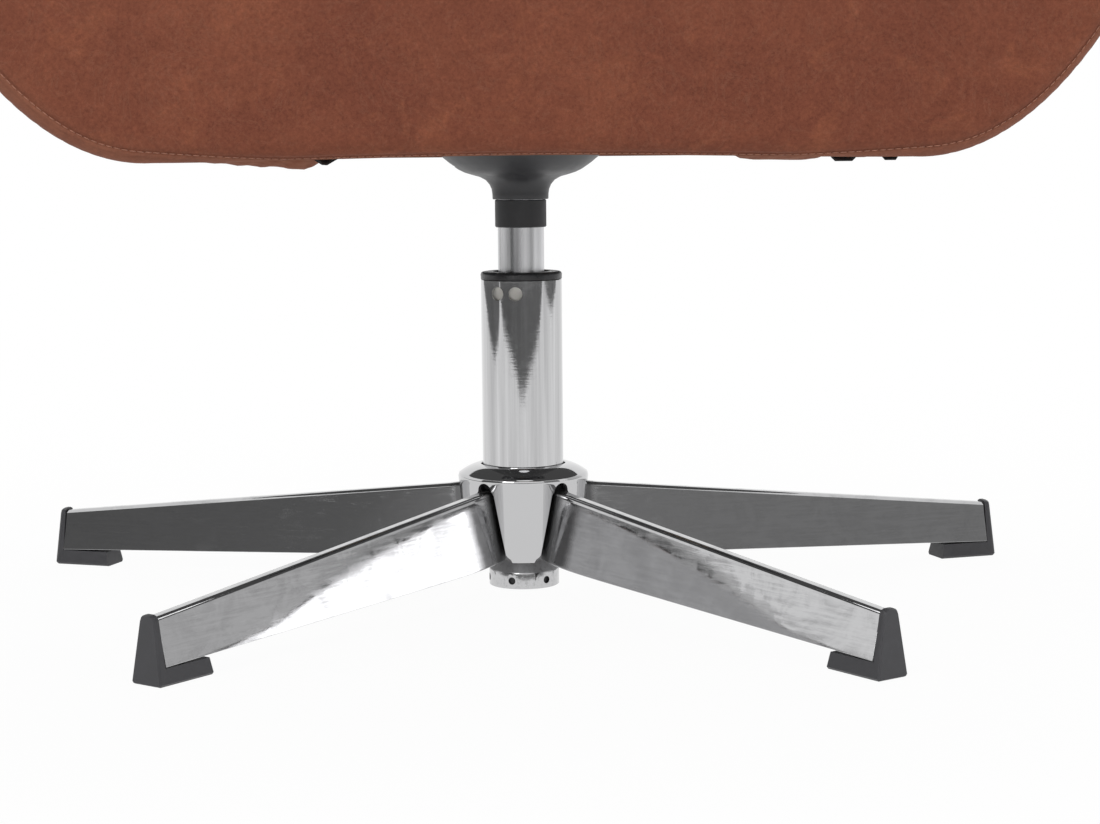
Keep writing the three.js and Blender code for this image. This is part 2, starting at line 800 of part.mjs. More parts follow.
function addBearing() {
  const washerInner = boreRadius(rodRadius + seatGap, smallSteps);
  const lowerTop = cupTop + seatGap + washerThick;
  const upperUnder = lowerTop + 2 * ballRadius;
  const upperTop = upperUnder + washerThick;
  const bumperUnder = upperTop + seatGap;
  const washer = (under, top) => ring(washerInner, washerRadius, under, top, smallSteps);
  add("thrust_washer_lower", washer(cupTop + seatGap, lowerTop), materials.steel);
  add("ball_cage", makeBallCage((lowerTop + upperUnder) / 2), materials.steel);
  add("thrust_washer_upper", washer(upperUnder, upperTop), materials.steel);
  const bumper = ring(washerInner, bumperRadius, bumperUnder, bumperUnder + bumperHigh, smallSteps);
  add("rubber_bumper", bumper, materials.rubber);
  const clipTop = cupTop - cupFloorThick - clipDrop;
  const clip = ring(washerInner, clipRadius, clipTop - clipThick, clipTop, smallSteps);
  add("retaining_clip", clip, materials.steel);
}

function makePistonRod() {
  const top = cylinderTop - cylinderCrown - crownGap;
  return turned([
    [0, rodUnder],
    [rodRadius, rodUnder],
    [rodRadius, top - pistonHigh],
    [pistonRadius, top - pistonHigh],
    [pistonRadius, top],
    [0, top],
  ], smallSteps);
}

function makeGasCylinder() {
  const rodBore = boreRadius(rodRadius + runningGap);
  const bore = boreRadius(cylinderBore);
  const body = turned([
    [rodBore, cylinderUnder],
    [shaftRadius, cylinderUnder],
    [shaftRadius, cylinderTop],
    [0, cylinderTop],
    [0, cylinderTop - cylinderCrown],
    [bore, cylinderTop - cylinderCrown],
    [bore, cylinderUnder + cylinderFloor],
    [rodBore, cylinderUnder + cylinderFloor],
    [rodBore, cylinderUnder],
  ]);
  const buttonClear = boreRadius(buttonRadius + runningGap, smallSteps);
  const buttonBore = rod(buttonClear, cylinderTop - buttonDepth, cylinderTop + overrun, smallSteps);
  return cut(body, buttonBore);
}

// Collar and dome cover that hide the tilt housing
function domeProfile() {
  const outer = [
    [neckRadius, collarTop + seatGap],
    [neckRadius + seatGap, neckTop],
    [neckRadius + domeWall, flareBend],
    [(neckRadius + flareRadius) / 2, (flareBend + flareHeight) / 2 + seatGap],
    [flareRadius, flareHeight],
    [bowlRadius, bowlHeight],
    [rimRadius, rimHeight],
  ];
  const socketClear = shaftRadius + seatGap + socketWall + seatGap;
  const inner = [
    [rimRadius - domeWall, rimHeight],
    [bowlRadius - domeWall / 2, bowlHeight + domeWall],
    [flareRadius - domeWall / 2, flareHeight + domeWall],
    [(neckRadius + flareRadius) / 2 - domeWall, (flareBend + flareHeight) / 2 + domeWall],
    [neckRadius + domeWall / 2, flareBend + domeWall],
    [socketClear, neckTop + domeWall],
    [socketClear, collarTop + seatGap],
  ];
  return [...outer, ...inner, outer[0]];
}

function addLift() {
  add("gas_cylinder", makeGasCylinder(), materials.steel);
  const collarBore = boreRadius(shaftRadius + seatGap);
  add("socket_collar", ring(collarBore, collarRadius, collarUnder, collarTop), materials.cover);
  const slot = box(
    [-rimRadius - overrun, -domeSlotHalf, domeSlotUnder],
    [-flareRadius, domeSlotHalf, leverSlotTop + seatGap],
  );
  add("dome_cover", cut(turned(domeProfile()), slot), materials.cover);
  add("tilt_housing", makeHousing(), materials.steel);
  const pinHalf = earX + earThick + seatGap;
  const pinProfile = [
    [0, -pinHalf - pinHeadThick],
    [pinHeadRadius, -pinHalf - pinHeadThick],
    [pinHeadRadius, -pinHalf],
    [pinRadius, -pinHalf],
    [pinRadius, pinHalf],
    [pinHeadRadius, pinHalf],
    [pinHeadRadius, pinHalf + pinHeadThick],
    [0, pinHalf + pinHeadThick],
  ];
  const pin = turned(pinProfile, smallSteps).rotateY(Math.PI / 2);
  add("pivot_pin", pin.translate(0, 0, pivotHeight), materials.steel);
  const cross = rod(leverPinRadius, -blockHalfY, blockHalfY, pinSteps).rotateX(Math.PI / 2);
  add("lever_pin", cross.translate(leverPinX, 0, leverUnder + leverThick / 2), materials.steel);
  for (const [side, sign] of [["left", 1], ["right", -1]]) {
    add(`tilt_spring_${side}`, makeSpring(sign * springX), materials.steel);
  }
}

// Tilt housing: a socket on the cylinder's end, a block for the pivot and a shelf for the springs
function makeHousing() {
  const socketInner = boreRadius(shaftRadius + seatGap);
  const socketOuter = shaftRadius + seatGap + socketWall;
  const socket = rod(socketOuter, collarTop + seatGap, blockTop);
  const block = box([-blockHalfX, -blockHalfY, blockUnder], [blockHalfX, blockHalfY, blockTop]);
  const shelf = box([-shelfHalfX, 0, shelfUnder], [shelfHalfX, shelfReach, shelfTop]);
  const bore = rod(socketInner, collarTop - overrun, leverSlotUnder);
  const slotLow = [-blockHalfX - overrun, -leverSlotHalf, leverSlotUnder - softGap];
  const slot = box(slotLow, [leverSlotInner, leverSlotHalf, leverSlotTop]);
  const long = 2 * blockHalfX + overrun;
  const pivotBore = boreRadius(pinRadius + seatGap, smallSteps);
  const pivot = rod(pivotBore, -long, long, smallSteps).rotateY(Math.PI / 2);
  const crossBore = boreRadius(leverPinRadius + seatGap, pinSteps);
  const cross = rod(crossBore, -long, long, pinSteps).rotateX(Math.PI / 2);
  return cut(
    joined(socket, block, shelf),
    bore,
    slot,
    pivot.translate(0, 0, pivotHeight),
    cross.translate(leverPinX, 0, leverUnder + leverThick / 2),
  );
}

// Compression spring: one wire wound in a helix, standing on the shelf
function makeSpring(x) {
  const wire = springWire / 2;
  const under = shelfTop + seatGap + wire;
  const rise = plateUnder - seatGap - wire - under;
  const steps = Math.round(springTurns * springSteps);
  const middles = [];
  const sections = [];
  for (let i = 0; i <= steps; i += 1) {
    const turn = (2 * Math.PI * springTurns * i) / steps;
    const height = under + (rise * i) / steps;
    const outward = new THREE.Vector3(Math.cos(turn), Math.sin(turn), 0);
    const middle = new THREE.Vector3(x, springY, height).addScaledVector(outward, springRadius);
    middles.push(middle);
    const outline = arc(0, 0, wire, wire, 0, 2 * Math.PI, springSides).slice(0, -1);
    const to = (point) => {
      return middle.clone().addScaledVector(outward, point.x).add(new THREE.Vector3(0, 0, point.y));
    };
    sections.push({ outline, to });
  }
  console.log(`spring at x ${x}: least gap to itself ${leastGap(middles).toFixed(2)} mm`);
  return loft(sections);
}

function leastGap(middles) {
  let least = Infinity;
  middles.forEach((point, i) => {
    for (let j = i + springSteps - 1; j < middles.length; j += 1) {
      least = Math.min(least, point.distanceTo(middles[j]) - springWire);
    }
  });
  return least;
}

// Release lever, its paddle and the valve button that it presses
function addLever() {
  const top = leverUnder + leverThick;
  const bar = [
    new THREE.Vector2(leverTip, leverUnder),
    new THREE.Vector2(leverTip, top),
    new THREE.Vector2(leverCrankStart, top),
    new THREE.Vector2(leverCrankEnd, top + leverCrankRise),
    new THREE.Vector2(leverEnd, top + leverCrankRise),
    new THREE.Vector2(leverEnd, leverUnder + leverCrankRise),
    new THREE.Vector2(leverCrankEnd, leverUnder + leverCrankRise),
    new THREE.Vector2(leverCrankStart, leverUnder),
  ];
  const axisHeight = leverUnder + leverThick / 2;
  const across = (radius, half, steps) => {
    const pin = rod(radius, -half, half, steps).rotateX(Math.PI / 2);
    return pin.translate(leverPinX, 0, axisHeight);
  };
  const eyeRing = across(leverEyeRadius, leverHalfWide, smallSteps);
  const lever = joined(upright(bar, -leverHalfWide, leverHalfWide), eyeRing);
  const eye = across(boreRadius(leverPinRadius + runningGap, pinSteps), leverHalfWide + overrun, pinSteps);
  add("release_lever", cut(lever, eye), materials.steel);
  const paddleMiddle = axisHeight + leverCrankRise;
  const paddleHalfLong = (paddleInner - paddleEnd) / 2;
  const plan = roundedRectangle(
    paddleHalfLong, paddleHalfWide, paddleHalfWide / 2, (paddleInner + paddleEnd) / 2,
  );
  const grip = flat(plan, paddleMiddle - paddleThick / 2, paddleMiddle + paddleThick / 2);
  const slot = box(
    [leverEnd - seatGap, -leverHalfWide - seatGap, paddleMiddle - leverThick / 2 - seatGap],
    [paddleInner + overrun, leverHalfWide + seatGap, paddleMiddle + leverThick / 2 + seatGap],
  );
  add("lever_paddle", cut(grip, slot), materials.cover);
  const button = rod(buttonRadius, cylinderTop - buttonSink, cylinderTop + buttonProud, smallSteps);
  add("valve_button", button, materials.steel);
}

// Seat plate with its two pivot ears, the bushes in them and the four bolts
function earTool(radius, from, to) {
  const steps = smallSteps;
  return rod(radius, from, to, steps).rotateY(Math.PI / 2).translate(0, 0, pivotHeight);
}

function addSeatPlate() {
  const plan = roundedRectangle(plateHalfX, plateHalfY, plateCorner);
  const plate = flat(plan, plateUnder, plateUnder + plateThick);
  const bushOuter = pinRadius + runningGap + bushWall;
  const ears = [];
  const bores = [];
  for (const sign of [1, -1]) {
    const [near, far] = sign > 0 ? [earX, earX + earThick] : [-earX - earThick, -earX];
    ears.push(earTool(earRadius, near, far));
    ears.push(box([near, -earHalf, pivotHeight], [far, earHalf, plateUnder + seatGap]));
    bores.push(earTool(boreRadius(bushOuter + seatGap, smallSteps), near - seatGap, far + seatGap));
  }
  const holes = [];
  for (const x of [-boltX, boltX]) {
    for (const y of [-boltY, boltY]) {
      const hole = rod(boltRadius + seatGap, plateUnder - overrun, plateUnder + overrun, pinSteps);
      holes.push(hole.translate(x, y, 0));
    }
  }
  add("seat_plate", cut(joined(plate, ...ears), ...bores, ...holes), materials.steel);
  for (const [side, from] of [["left", earX], ["right", -earX - earThick]]) {
    const bore = boreRadius(pinRadius + runningGap, smallSteps);
    const bush = ring(bore, bushOuter, from, from + earThick, smallSteps);
    add(`pivot_bush_${side}`, bush.rotateY(Math.PI / 2).translate(0, 0, pivotHeight), materials.nylon);
  }
  const headUnder = plateUnder - seatGap - boltHeadThick;
  const profile = [
    [0, headUnder],
    [boltHeadRadius, headUnder],
    [boltHeadRadius, plateUnder - seatGap],
    [boltRadius, plateUnder - seatGap],
    [boltRadius, boardTop + boltProud],
    [0, boardTop + boltProud],
  ];
  const corners = [
    ["front_left", 1, -1],
    ["front_right", -1, -1],
    ["rear_left", 1, 1],
    ["rear_right", -1, 1],
  ];
  for (const [name, sx, sy] of corners) {
    const bolt = turned(profile, pinSteps).translate(sx * boltX, sy * boltY, 0);
    add(`plate_bolt_${name}`, bolt, materials.steel);
  }
}

// Wooden seat frame and the elastic deck across its top
function addSeatFrame() {
  const innerX = frameHalfX - railThick;
  const [front, rear] = [frameFront, frameRear];
  for (const [side, from, to] of [["left", innerX, frameHalfX], ["right", -frameHalfX, -innerX]]) {
    add(`side_rail_${side}`, box([from, front, railUnder], [to, rear, railTop]), materials.wood);
  }
  const crossHalf = innerX - seatGap;
  const frontRail = box([-crossHalf, front, railUnder], [crossHalf, front + railThick, railTop]);
  add("front_rail", frontRail, materials.wood);
  const rearRail = box([-crossHalf, rear - railThick, railUnder], [crossHalf, rear, railTop]);
  add("rear_rail", rearRail, materials.wood);
  const boardLow = [-crossHalf, front + railThick + seatGap, boardUnder];
  const board = box(boardLow, [crossHalf, rear - railThick - seatGap, boardTop]);
  const holes = [];
  for (const x of [-boltX, boltX]) {
    for (const y of [-boltY, boltY]) {
      const hole = rod(boltRadius + seatGap, boardUnder - overrun, boardTop + overrun, pinSteps);
      holes.push(hole.translate(x, y, 0));
    }
  }
  add("bottom_board", cut(board, ...holes), materials.wood);
  const deck = box([-frameHalfX, front, deckUnder], [frameHalfX, rear, deckUnder + deckThick]);
  add("seat_deck", deck, materials.cloth);
}

// Black cloth that lines the recess: under the board, down the rails and across their lower edges
function addDustCover() {
  const insideX = frameHalfX - railThick - seatGap;
  const [insideFront, insideRear] = [frameFront + railThick + seatGap, frameRear - railThick - seatGap];
  const flangeTop = railUnder - seatGap;
  const flangeUnder = flangeTop - clothThick;
  const ceiling = boardUnder - seatGap;
  const flange = box(
    [-frameHalfX, frameFront, flangeUnder],
    [frameHalfX, frameRear, flangeTop],
  );
  const tray = box([-insideX, insideFront, flangeUnder], [insideX, insideRear, ceiling]);
  const hollow = box(
    [-insideX + clothThick, insideFront + clothThick, flangeUnder - overrun],
    [insideX - clothThick, insideRear - clothThick, ceiling - clothThick],
  );
  const opening = box(
    [-clothOpening, -clothOpening, ceiling - overrun],
    [clothOpening, clothOpening, ceiling + overrun],
  );
  add("dust_cover", cut(joined(flange, tray), hollow, opening), materials.cloth);
}

// Upholstered body
function edgeAngle(height, high) {
  return Math.acos((cornerCentre - height) / high);
}

// Half the room between the arms: their inner sides stand on the deck's edge, lean out to the hem
// height and follow the ellipse above it
function innerHalfAt(height) {
  if (height <= apronTop) return armInnerEdge;
  const hem = THREE.MathUtils.mapLinear(height, apronTop, hemHeight, armInnerEdge, armInnerEdge + armHem);
  if (height < hemHeight) return hem;
  return flatHalf + innerWide * Math.sin(edgeAngle(Math.min(height, cornerCentre), innerHigh));
}

// The arm's section, from its lower edge over the top to its inner side, on the +X side
function armSection(edge, top, hem = 0) {
  const shoulder = top - armRound;
  const outerEnd = edgeAngle(shoulder, cornerHigh);
  const innerEnd = edgeAngle(shoulder, innerHigh);
  const outerStart = Math.asin((edge - flatHalf) / cornerWide);
  const innerStart = Math.asin((edge + hem - flatHalf) / innerWide);
  const outer = arc(flatHalf, cornerCentre, cornerWide, cornerHigh, outerStart, outerEnd, arcSteps);
  const inner = arc(flatHalf, cornerCentre, innerWide, innerHigh, innerStart, innerEnd, arcSteps).reverse();
  const [from, to] = [outer.at(-1).x, inner[0].x];
  const [middle, half] = [(from + to) / 2, (from - to) / 2];
  const over = arc(middle, shoulder, half, armRound, Math.PI / 2, 1.5 * Math.PI, armTopSteps);
  const foot = hem > 0 ? [new THREE.Vector2(edge, apronTop)] : [];
  return [...outer, ...over.slice(1, -1), ...inner, ...foot];
}

function backRearAt(height) {
  const share = Math.max(height - railTop, 0) / (backTop - railTop);
  return backRearFoot + backLean * share * (1 + backCurveShare * (1 - share));
}

function makeFrontPanel() {
  const right = armSection(flatHalf, armTopFront);
  const outline = [...right, ...mirrored(right)];
  const round = panelRound;
  const shallow = round * (1 - Math.SQRT1_2);
  const at = (y) => (point) => new THREE.Vector3(point.x, y, point.y);
  return loft([
    { outline: inset(outline, round), to: at(frontFace) },
    { outline: inset(outline, shallow), to: at(frontFace + shallow) },
    { outline, to: at(frontFace + round) },
    { outline, to: at(panelBack) },
  ]);
}

function makeArm() {
  const start = panelBack + seatGap;
  const station = (share, sunk, turn) => {
    const top = THREE.MathUtils.lerp(armTopFront, armTopRear, share);
    const to = (point) => {
      const rear = backRearAt(point.y) - backBow - turn;
      return new THREE.Vector3(point.x, THREE.MathUtils.lerp(start, rear, share), point.y);
    };
    return { outline: inset(armSection(armInnerEdge, top, armHem), sunk), to };
  };
  const body = armStationShares.map((share) => station(share, 0, armRearRound));
  const shallow = armRearRound * (1 - Math.SQRT1_2);
  const round = [station(1, 0, armRearRound), station(1, shallow, shallow), station(1, armRearRound, 0)];
  return loft([...body, ...round]);
}

// The wooden frame inside an arm: two bent posts and a rail. grow makes the hollow that it fills.
function makeArmFrame(grow) {
  const middleWide = cornerWide - armThick / 2;
  const middleHigh = cornerHigh - apronHigh / 2;
  const start = Math.asin((armInnerEdge - flatHalf) / middleWide);
  const end = edgeAngle(postTop, middleHigh);
  const half = postWide / 2 + grow;
  const outer = arc(flatHalf, cornerCentre, middleWide + half, middleHigh + half, start, end, arcSteps);
  const inner = arc(flatHalf, cornerCentre, middleWide - half, middleHigh - half, start, end, arcSteps);
  const foot = armInnerEdge - grow;
  outer[0].x = foot;
  inner[0].x = foot;
  const outline = [...outer, ...inner.reverse()];
  const posts = [postFrontY, postRearY].map((y) => upright(outline, y - grow, y + postThick + grow));
  const railX = (outer.at(-1).x + inner[0].x) / 2;
  const rail = box(
    [railX - armRailHalf - grow, armRailFront - grow, postTop - armRailHigh - grow],
    [railX + armRailHalf + grow, armRailRear + grow, postTop + grow],
  );
  return joined(...posts, rail);
}

function backHalfAt(height) {
  const shoulder = armTopRear - armRound;
  if (height < armTopRear) return innerHalfAt(Math.min(height, shoulder)) - softGap;
  const lower = innerHalfAt(shoulder) - softGap;
  const corner = Math.max(height - (backTop - backTopCorner), 0);
  const drawn = backTopCorner - Math.sqrt(backTopCorner ** 2 - corner ** 2);
  const blend = THREE.MathUtils.smoothstep(height, armTopRear, backWideAt);
  const narrow = THREE.MathUtils.smoothstep(height, backWideAt, backTop);
  const wide = THREE.MathUtils.lerp(backWideHalf, backTopHalf, narrow);
  return THREE.MathUtils.lerp(lower, wide, blend) - drawn;
}

function backThickAt(height) {
  const share = Math.max(height - railTop, 0) / (backTop - railTop);
  return THREE.MathUtils.lerp(backThick, backTopThick, share);
}

function backRing(height) {
  const near = Math.max(height - (backTop - backRimRound), 0) / backRimRound;
  const low = Math.max(seatBottom + armRearRound - height, 0) / armRearRound;
  const rim = Math.sqrt(1 - Math.min(near, backRimCloseShare) ** 2);
  const closing = rim * Math.sqrt(1 - (low * backFootCloseShare) ** 2);
  const half = backHalfAt(height);
  const thick = backThickAt(height);
  const middle = backRearAt(height) - thick / 2;
  const outline = squircle(half, (thick / 2) * closing, middle, backPower);
  const bowed = (point) => {
    const bow = backBow * (point.x / backWideHalf) ** 2;
    return new THREE.Vector3(point.x, point.y - bow, height);
  };
  return { outline, to: bowed };
}

function spread(from, to, count) {
  return Array.from({ length: count }, (_, i) => from + ((to - from) * i) / (count - 1));
}

function makeOuterBack() {
  const [overArm, inCorner, inRim] = backRingShares;
  const heights = [
    ...spread(seatBottom, seatBottom + armRearRound, 3),
    apronTop,
    ...spread(hemHeight, armTopRear, 4),
    ...spread(armTopRear + armRound * overArm, backTop - backTopCorner, 4),
    ...spread(backTop - backTopCorner * inCorner, backTop - backRimRound, 4),
    ...spread(backTop - backRimRound * inRim, backTop, 3),
  ];
  const body = loft(heights.map(backRing));
  return cut(body, makeBackFrame(seatGap, false));
}

// The plywood back frame: a bent panel with two windows. grow makes the hollow that it fills.
function makeBackFrame(grow, windows) {
  const foot = grow > 0 ? seatBottom - overrun : backFrameUnder;
  const heights = [foot, railTop, ...spread(railTop, backFrameTop + grow, 7).slice(1)];
  const half = backFrameThick / 2 + grow;
  const middleAt = (height) => backRearAt(height) - backThickAt(height) / 2 - backBow / 4;
  const rear = heights.map((height) => new THREE.Vector2(middleAt(height) + half, height));
  const front = heights.map((height) => new THREE.Vector2(middleAt(height) - half, height)).reverse();
  const x = backFrameHalf + grow;
  const outline = [...rear, ...front];
  const panel = loft([
    { outline, to: (point) => new THREE.Vector3(-x, point.x, point.y) },
    { outline, to: (point) => new THREE.Vector3(x, point.x, point.y) },
  ]);
  if (!windows) return panel;
  const opening = (under, top) => {
    const reach = backFrameHalf - backFrameBorder;
    return box([-reach, frameRear - overrun, under], [reach, backRearFoot + backLean + overrun, top]);
  };
  const middle = backFrameBorder / 2;
  return cut(
    panel,
    opening(railTop + backFrameBorder, backFrameMiddle - middle),
    opening(backFrameMiddle + middle, backFrameTop - backFrameBorder),
  );
}

// Seat cushion: crowned, with drawn-in sides, narrower below where the arms curve in
function makeSeatCushion() {
  const rear = backRearAt(apronTop) - backThick - cushionGap;
  const top = cushionUnder + seatCushionHigh;
  const halfY = (rear - seatCushionFront) / 2;
  const middle = (rear + seatCushionFront) / 2;
  const sectionAt = (height, sunk) => {
    const half = innerHalfAt(height) - cushionGap - sunk;
    const outline = squircle(half, halfY - sunk, middle, seatCushionPower, drawnInShare);
    return { outline, to: level(height) };
  };
  const round = seatCushionRound;
  const edge = spread(0, Math.PI / 2, edgeSteps).map((angle) => {
    return sectionAt(top - seatCushionCrown - round * (1 - Math.sin(angle)), round * (1 - Math.cos(angle)));
  });
  const crown = seatCrownShares.map((share) => {
    const half = (innerHalfAt(top) - round) * share;
    const outline = squircle(half, (halfY - round) * share, middle, seatCushionPower, drawnInShare);
    return { outline, to: level(top - seatCushionCrown * share ** 2) };
  });
  const foot = [sectionAt(cushionUnder, round / 2), sectionAt(cushionUnder + round / 4, round / 8)];
  return loft([...foot, sectionAt(cushionUnder + round / 2, 0), ...edge, ...crown]);
}

// Back cushion: three swelling rolls with sewn channels between them
function makeBackCushion() {
  const sections = spread(0, 1, backCushionRows).map((share) => {
    const height = THREE.MathUtils.lerp(backCushionUnder, backCushionTop, share);
    const rear = backRearAt(height) - backThickAt(height) - cushionGap;
    const swell = Math.abs(Math.sin(Math.PI * channelCount * share)) ** channelPower;
    const ends = Math.sqrt(Math.max(1 - (2 * share - 1) ** backCushionEndPower, backCushionEndShare ** 2));
    const thick = backCushionThick * (1 - channelDeepShare * (1 - swell)) * ends;
    const widest = Math.min(backCushionHalf, innerHalfAt(height) - backCushionSideGap);
    const narrowed = 1 - backCushionNarrowShare * (1 - ends);
    const half = widest * narrowed * (1 - drawnInShare * (1 - swell));
    const outline = squircle(half, thick / 2, rear - thick / 2, backCushionPower, drawnInShare);
    const bowed = (point) => {
      const bow = backBow * (point.x / backWideHalf) ** 2;
      return new THREE.Vector3(point.x, point.y - bow, height);
    };
    return { outline, to: bowed };
  });
  return loft(sections);
}

function addUpholstery() {
  add("front_panel", makeFrontPanel(), materials.leather);
  const arm = cut(makeArm(), makeArmFrame(seatGap));
  const frame = makeArmFrame(0);
  add("arm_left", arm, materials.leather);
  add("arm_right", arm.clone().scale(-1, 1, 1), materials.leather);
  add("arm_frame_left", frame, materials.wood);
  add("arm_frame_right", frame.clone().scale(-1, 1, 1), materials.wood);
  add("outer_back", makeOuterBack(), materials.leather);
  add("back_frame", makeBackFrame(0, true), materials.wood);
  add("seat_cushion", makeSeatCushion(), materials.leather);
  add("back_cushion", makeBackCushion(), materials.leather);
}

addBase();
addColumn();
addBearing();
add("piston_rod", makePistonRod(), materials.steel);
addLift();
addLever();
addSeatPlate();
addSeatFrame();
addDustCover();
addUpholstery();

export default chair;
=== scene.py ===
"""The looks of a leather swivel rocker on a chromed star base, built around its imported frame.

Lengths in the making of a piece are millimetres, and each finished mesh is in metres. +Z is up, the
floor is z = 0, the chair faces -Y and +X is at the sitter's left hand.
"""

import json
import math

import bmesh
import bpy
from mathutils import Matrix, Vector, noise
from mathutils.bvhtree import BVHTree
from mathutils.kdtree import KDTree


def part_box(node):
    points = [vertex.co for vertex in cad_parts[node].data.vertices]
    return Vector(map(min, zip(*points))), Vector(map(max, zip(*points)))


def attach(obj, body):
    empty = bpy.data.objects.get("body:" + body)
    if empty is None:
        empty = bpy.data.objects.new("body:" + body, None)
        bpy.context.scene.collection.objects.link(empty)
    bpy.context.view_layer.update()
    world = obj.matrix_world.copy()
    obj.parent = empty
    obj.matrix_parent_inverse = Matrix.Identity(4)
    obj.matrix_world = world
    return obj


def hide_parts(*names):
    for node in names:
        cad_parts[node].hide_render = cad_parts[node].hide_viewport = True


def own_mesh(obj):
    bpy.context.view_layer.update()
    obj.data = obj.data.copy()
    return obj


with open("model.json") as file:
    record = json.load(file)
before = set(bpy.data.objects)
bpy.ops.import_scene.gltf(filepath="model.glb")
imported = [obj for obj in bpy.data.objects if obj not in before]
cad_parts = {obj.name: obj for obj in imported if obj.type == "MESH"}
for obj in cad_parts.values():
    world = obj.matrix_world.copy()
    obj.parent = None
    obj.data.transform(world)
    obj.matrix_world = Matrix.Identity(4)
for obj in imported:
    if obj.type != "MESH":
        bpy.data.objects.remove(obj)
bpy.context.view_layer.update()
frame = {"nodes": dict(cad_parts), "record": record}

bl_info = {
    "name": "Swivel rocker chair",
    "version": (1, 0, 0),
    "blender": (4, 5, 0),
    "location": "View3D > Sidebar > Chair",
    "description": "Dresses the frame of a swivel rocker in leather, chrome and plastic",
    "category": "Object",
}

NODES = frame["nodes"]
MM = 0.001
PICTURE_WIDE = 1100

# The seat's front outline: a flat bottom with a quarter of an ellipse at each side
FLAT_HALF = 174.0
CORNER_WIDE = 156.0
CORNER_HIGH = 370.0
SEAT_BOTTOM = 266.5
APRON_HIGH = 86.0
ARM_THICK = 77.0
ARM_ROUND = 36.0
ARM_TOP_FRONT = 588.0
ARM_TOP_REAR = 618.0
CORNER_CENTRE = SEAT_BOTTOM + CORNER_HIGH
APRON_TOP = SEAT_BOTTOM + APRON_HIGH
INNER_WIDE = CORNER_WIDE - ARM_THICK
INNER_HIGH = CORNER_HIGH - APRON_HIGH
ARM_EDGE = 204.5
ARM_HEM = 14.0
HEM_SHARE = (ARM_EDGE + ARM_HEM - FLAT_HALF) / INNER_WIDE
HEM_HEIGHT = CORNER_CENTRE - INNER_HIGH * math.sqrt(1 - HEM_SHARE**2)
FRONT_FACE = -385.0
PANEL_BACK = -362.6
RAIL_TOP = 350.0
BACK_TOP = 1000.0
BACK_REAR_FOOT = 264.0
BACK_LEAN = 124.2
BACK_CURVE = 0.38
BACK_THICK = 72.0
BACK_TOP_THICK = 46.0
BACK_BOW = 16.0
BACK_WIDE_HALF = 262.0
BACK_TOP_HALF = 246.0
BACK_WIDE_AT = 760.0
BACK_TOP_CORNER = 120.0
BACK_RIM_ROUND = 26.0

# The front panel: where its flat bottom and its corner end, as shares of the way from the middle of
# the bottom to the arm's top, and its top-stitching, in millimetres from the middle and from the edge
FLAT_END = 0.26
CORNER_END = 0.86
BOTTOM_RISE = 2.1
BOTTOM_RISE_HALF = 165
SEAM_INSET = 0.8
SEAM_LEAVES = 112
SEAM_AT_CORNER = 178
SEAM_SETTLES = 225

# The star base
LEG_NAMES = ("rear", "left", "front_left", "front_right", "right")
BASE_TURN = 1.65
LEG_ROOT = 31.2
LEG_REACH = 320.0
LEG_TOPS = (65.2, 35.3)  # heights at the root and at the end
LEG_UNDERS = (19.1, 9.85)
LEG_FLARE = 3.4  # what the underside rises towards the root, and the run in which it fades
LEG_FLARE_RUN = 15
LEG_FOOT_HALF = 19.15 / 2
LEG_TOP_HALF = 9 / 2
LEG_ROUND = 3.0
LEG_SHEET = 1.8
ROLLED = 0.055  # how far polishing has rolled the flanks upwards, as a slope

# The column
TUBE_INNER = 23
TUBE_OUTER = 25
TUBE_LOW = 24.6
TUBE_TOP = 192.1
HOLE_BEARINGS = (-37.4, -9.7)
HOLE_HEIGHT = 184.2
HOLE_RADIUS = 4.3
CUP_HOLE_BEARINGS = tuple(-21.8 + 60 * index for index in range(6))
CUP_HOLE_OUT = 24.1
CUP_HOLE_HEIGHT = 6.75
CUP_HOLE_RADIUS = 2.3
SPRING_PLACE = (13, 32)  # x on the left side, and y
SPRING_ENDS = (281.25, 295.7)
SPRING_TURNS = 3.5
SPRING_RADIUS = 6.2
SPRING_WIRE = 1.9


def linear(red, green, blue):
    """A colour as a painter's 0 to 255 numbers, made linear."""
    shares = [value / 255 for value in (red, green, blue)]
    return tuple(s / 12.92 if s <= 0.04045 else ((s + 0.055) / 1.055) ** 2.4 for s in shares)


def opaque(colour):
    return (*colour, 1.0)


# Settings that a user would change


def colour_setting(name, description, default):
    return bpy.props.FloatVectorProperty(
        name=name, description=description, subtype="COLOR", size=3, min=0, max=1, default=default
    )


def length_setting(name, description, default, low, high):
    """A length, its numbers in millimetres."""
    return bpy.props.FloatProperty(
        name=name, description=description, default=default * MM, min=low * MM, max=high * MM, unit="LENGTH"
    )


class ChairFinishes(bpy.types.PropertyGroup):
    """Colours and gloss of the chair's materials."""

    leather: colour_setting("Leather", "Main tone of the leather", linear(121, 69, 50))
    leather_dark: colour_setting("Leather, dark", "Darker clouds in the leather", linear(110, 61, 45))
    # Also the tone of the painted light on the front panel's lower rim and on the hem's fold ridges
    leather_pale: colour_setting("Leather, worn", "Where the leather is drawn tight", linear(140, 97, 78))
    thread: colour_setting("Thread", "Sewing thread", linear(158, 107, 84))
    chrome: colour_setting("Chrome", "Tint of the chromed steel", (0.55, 0.55, 0.557))
    steel: colour_setting("Steel", "Tint of the bare steel", (0.5, 0.5, 0.51))
    black: colour_setting("Cover plastic", "Dome, collar and cap", linear(52, 52, 54))
    foot: colour_setting("Foot plastic", "Caps on the feet", linear(61, 61, 64))
    wood: colour_setting("Wood", "Raw birch of the frame", linear(198, 165, 120))
    cloth: colour_setting("Black cloth", "Dust cover and deck", linear(19, 19, 20))
    chrome_roughness: bpy.props.FloatProperty(
        name="Chrome roughness", description="Blur of the chrome", min=0, max=1, default=0.045,
        subtype="FACTOR",
    )


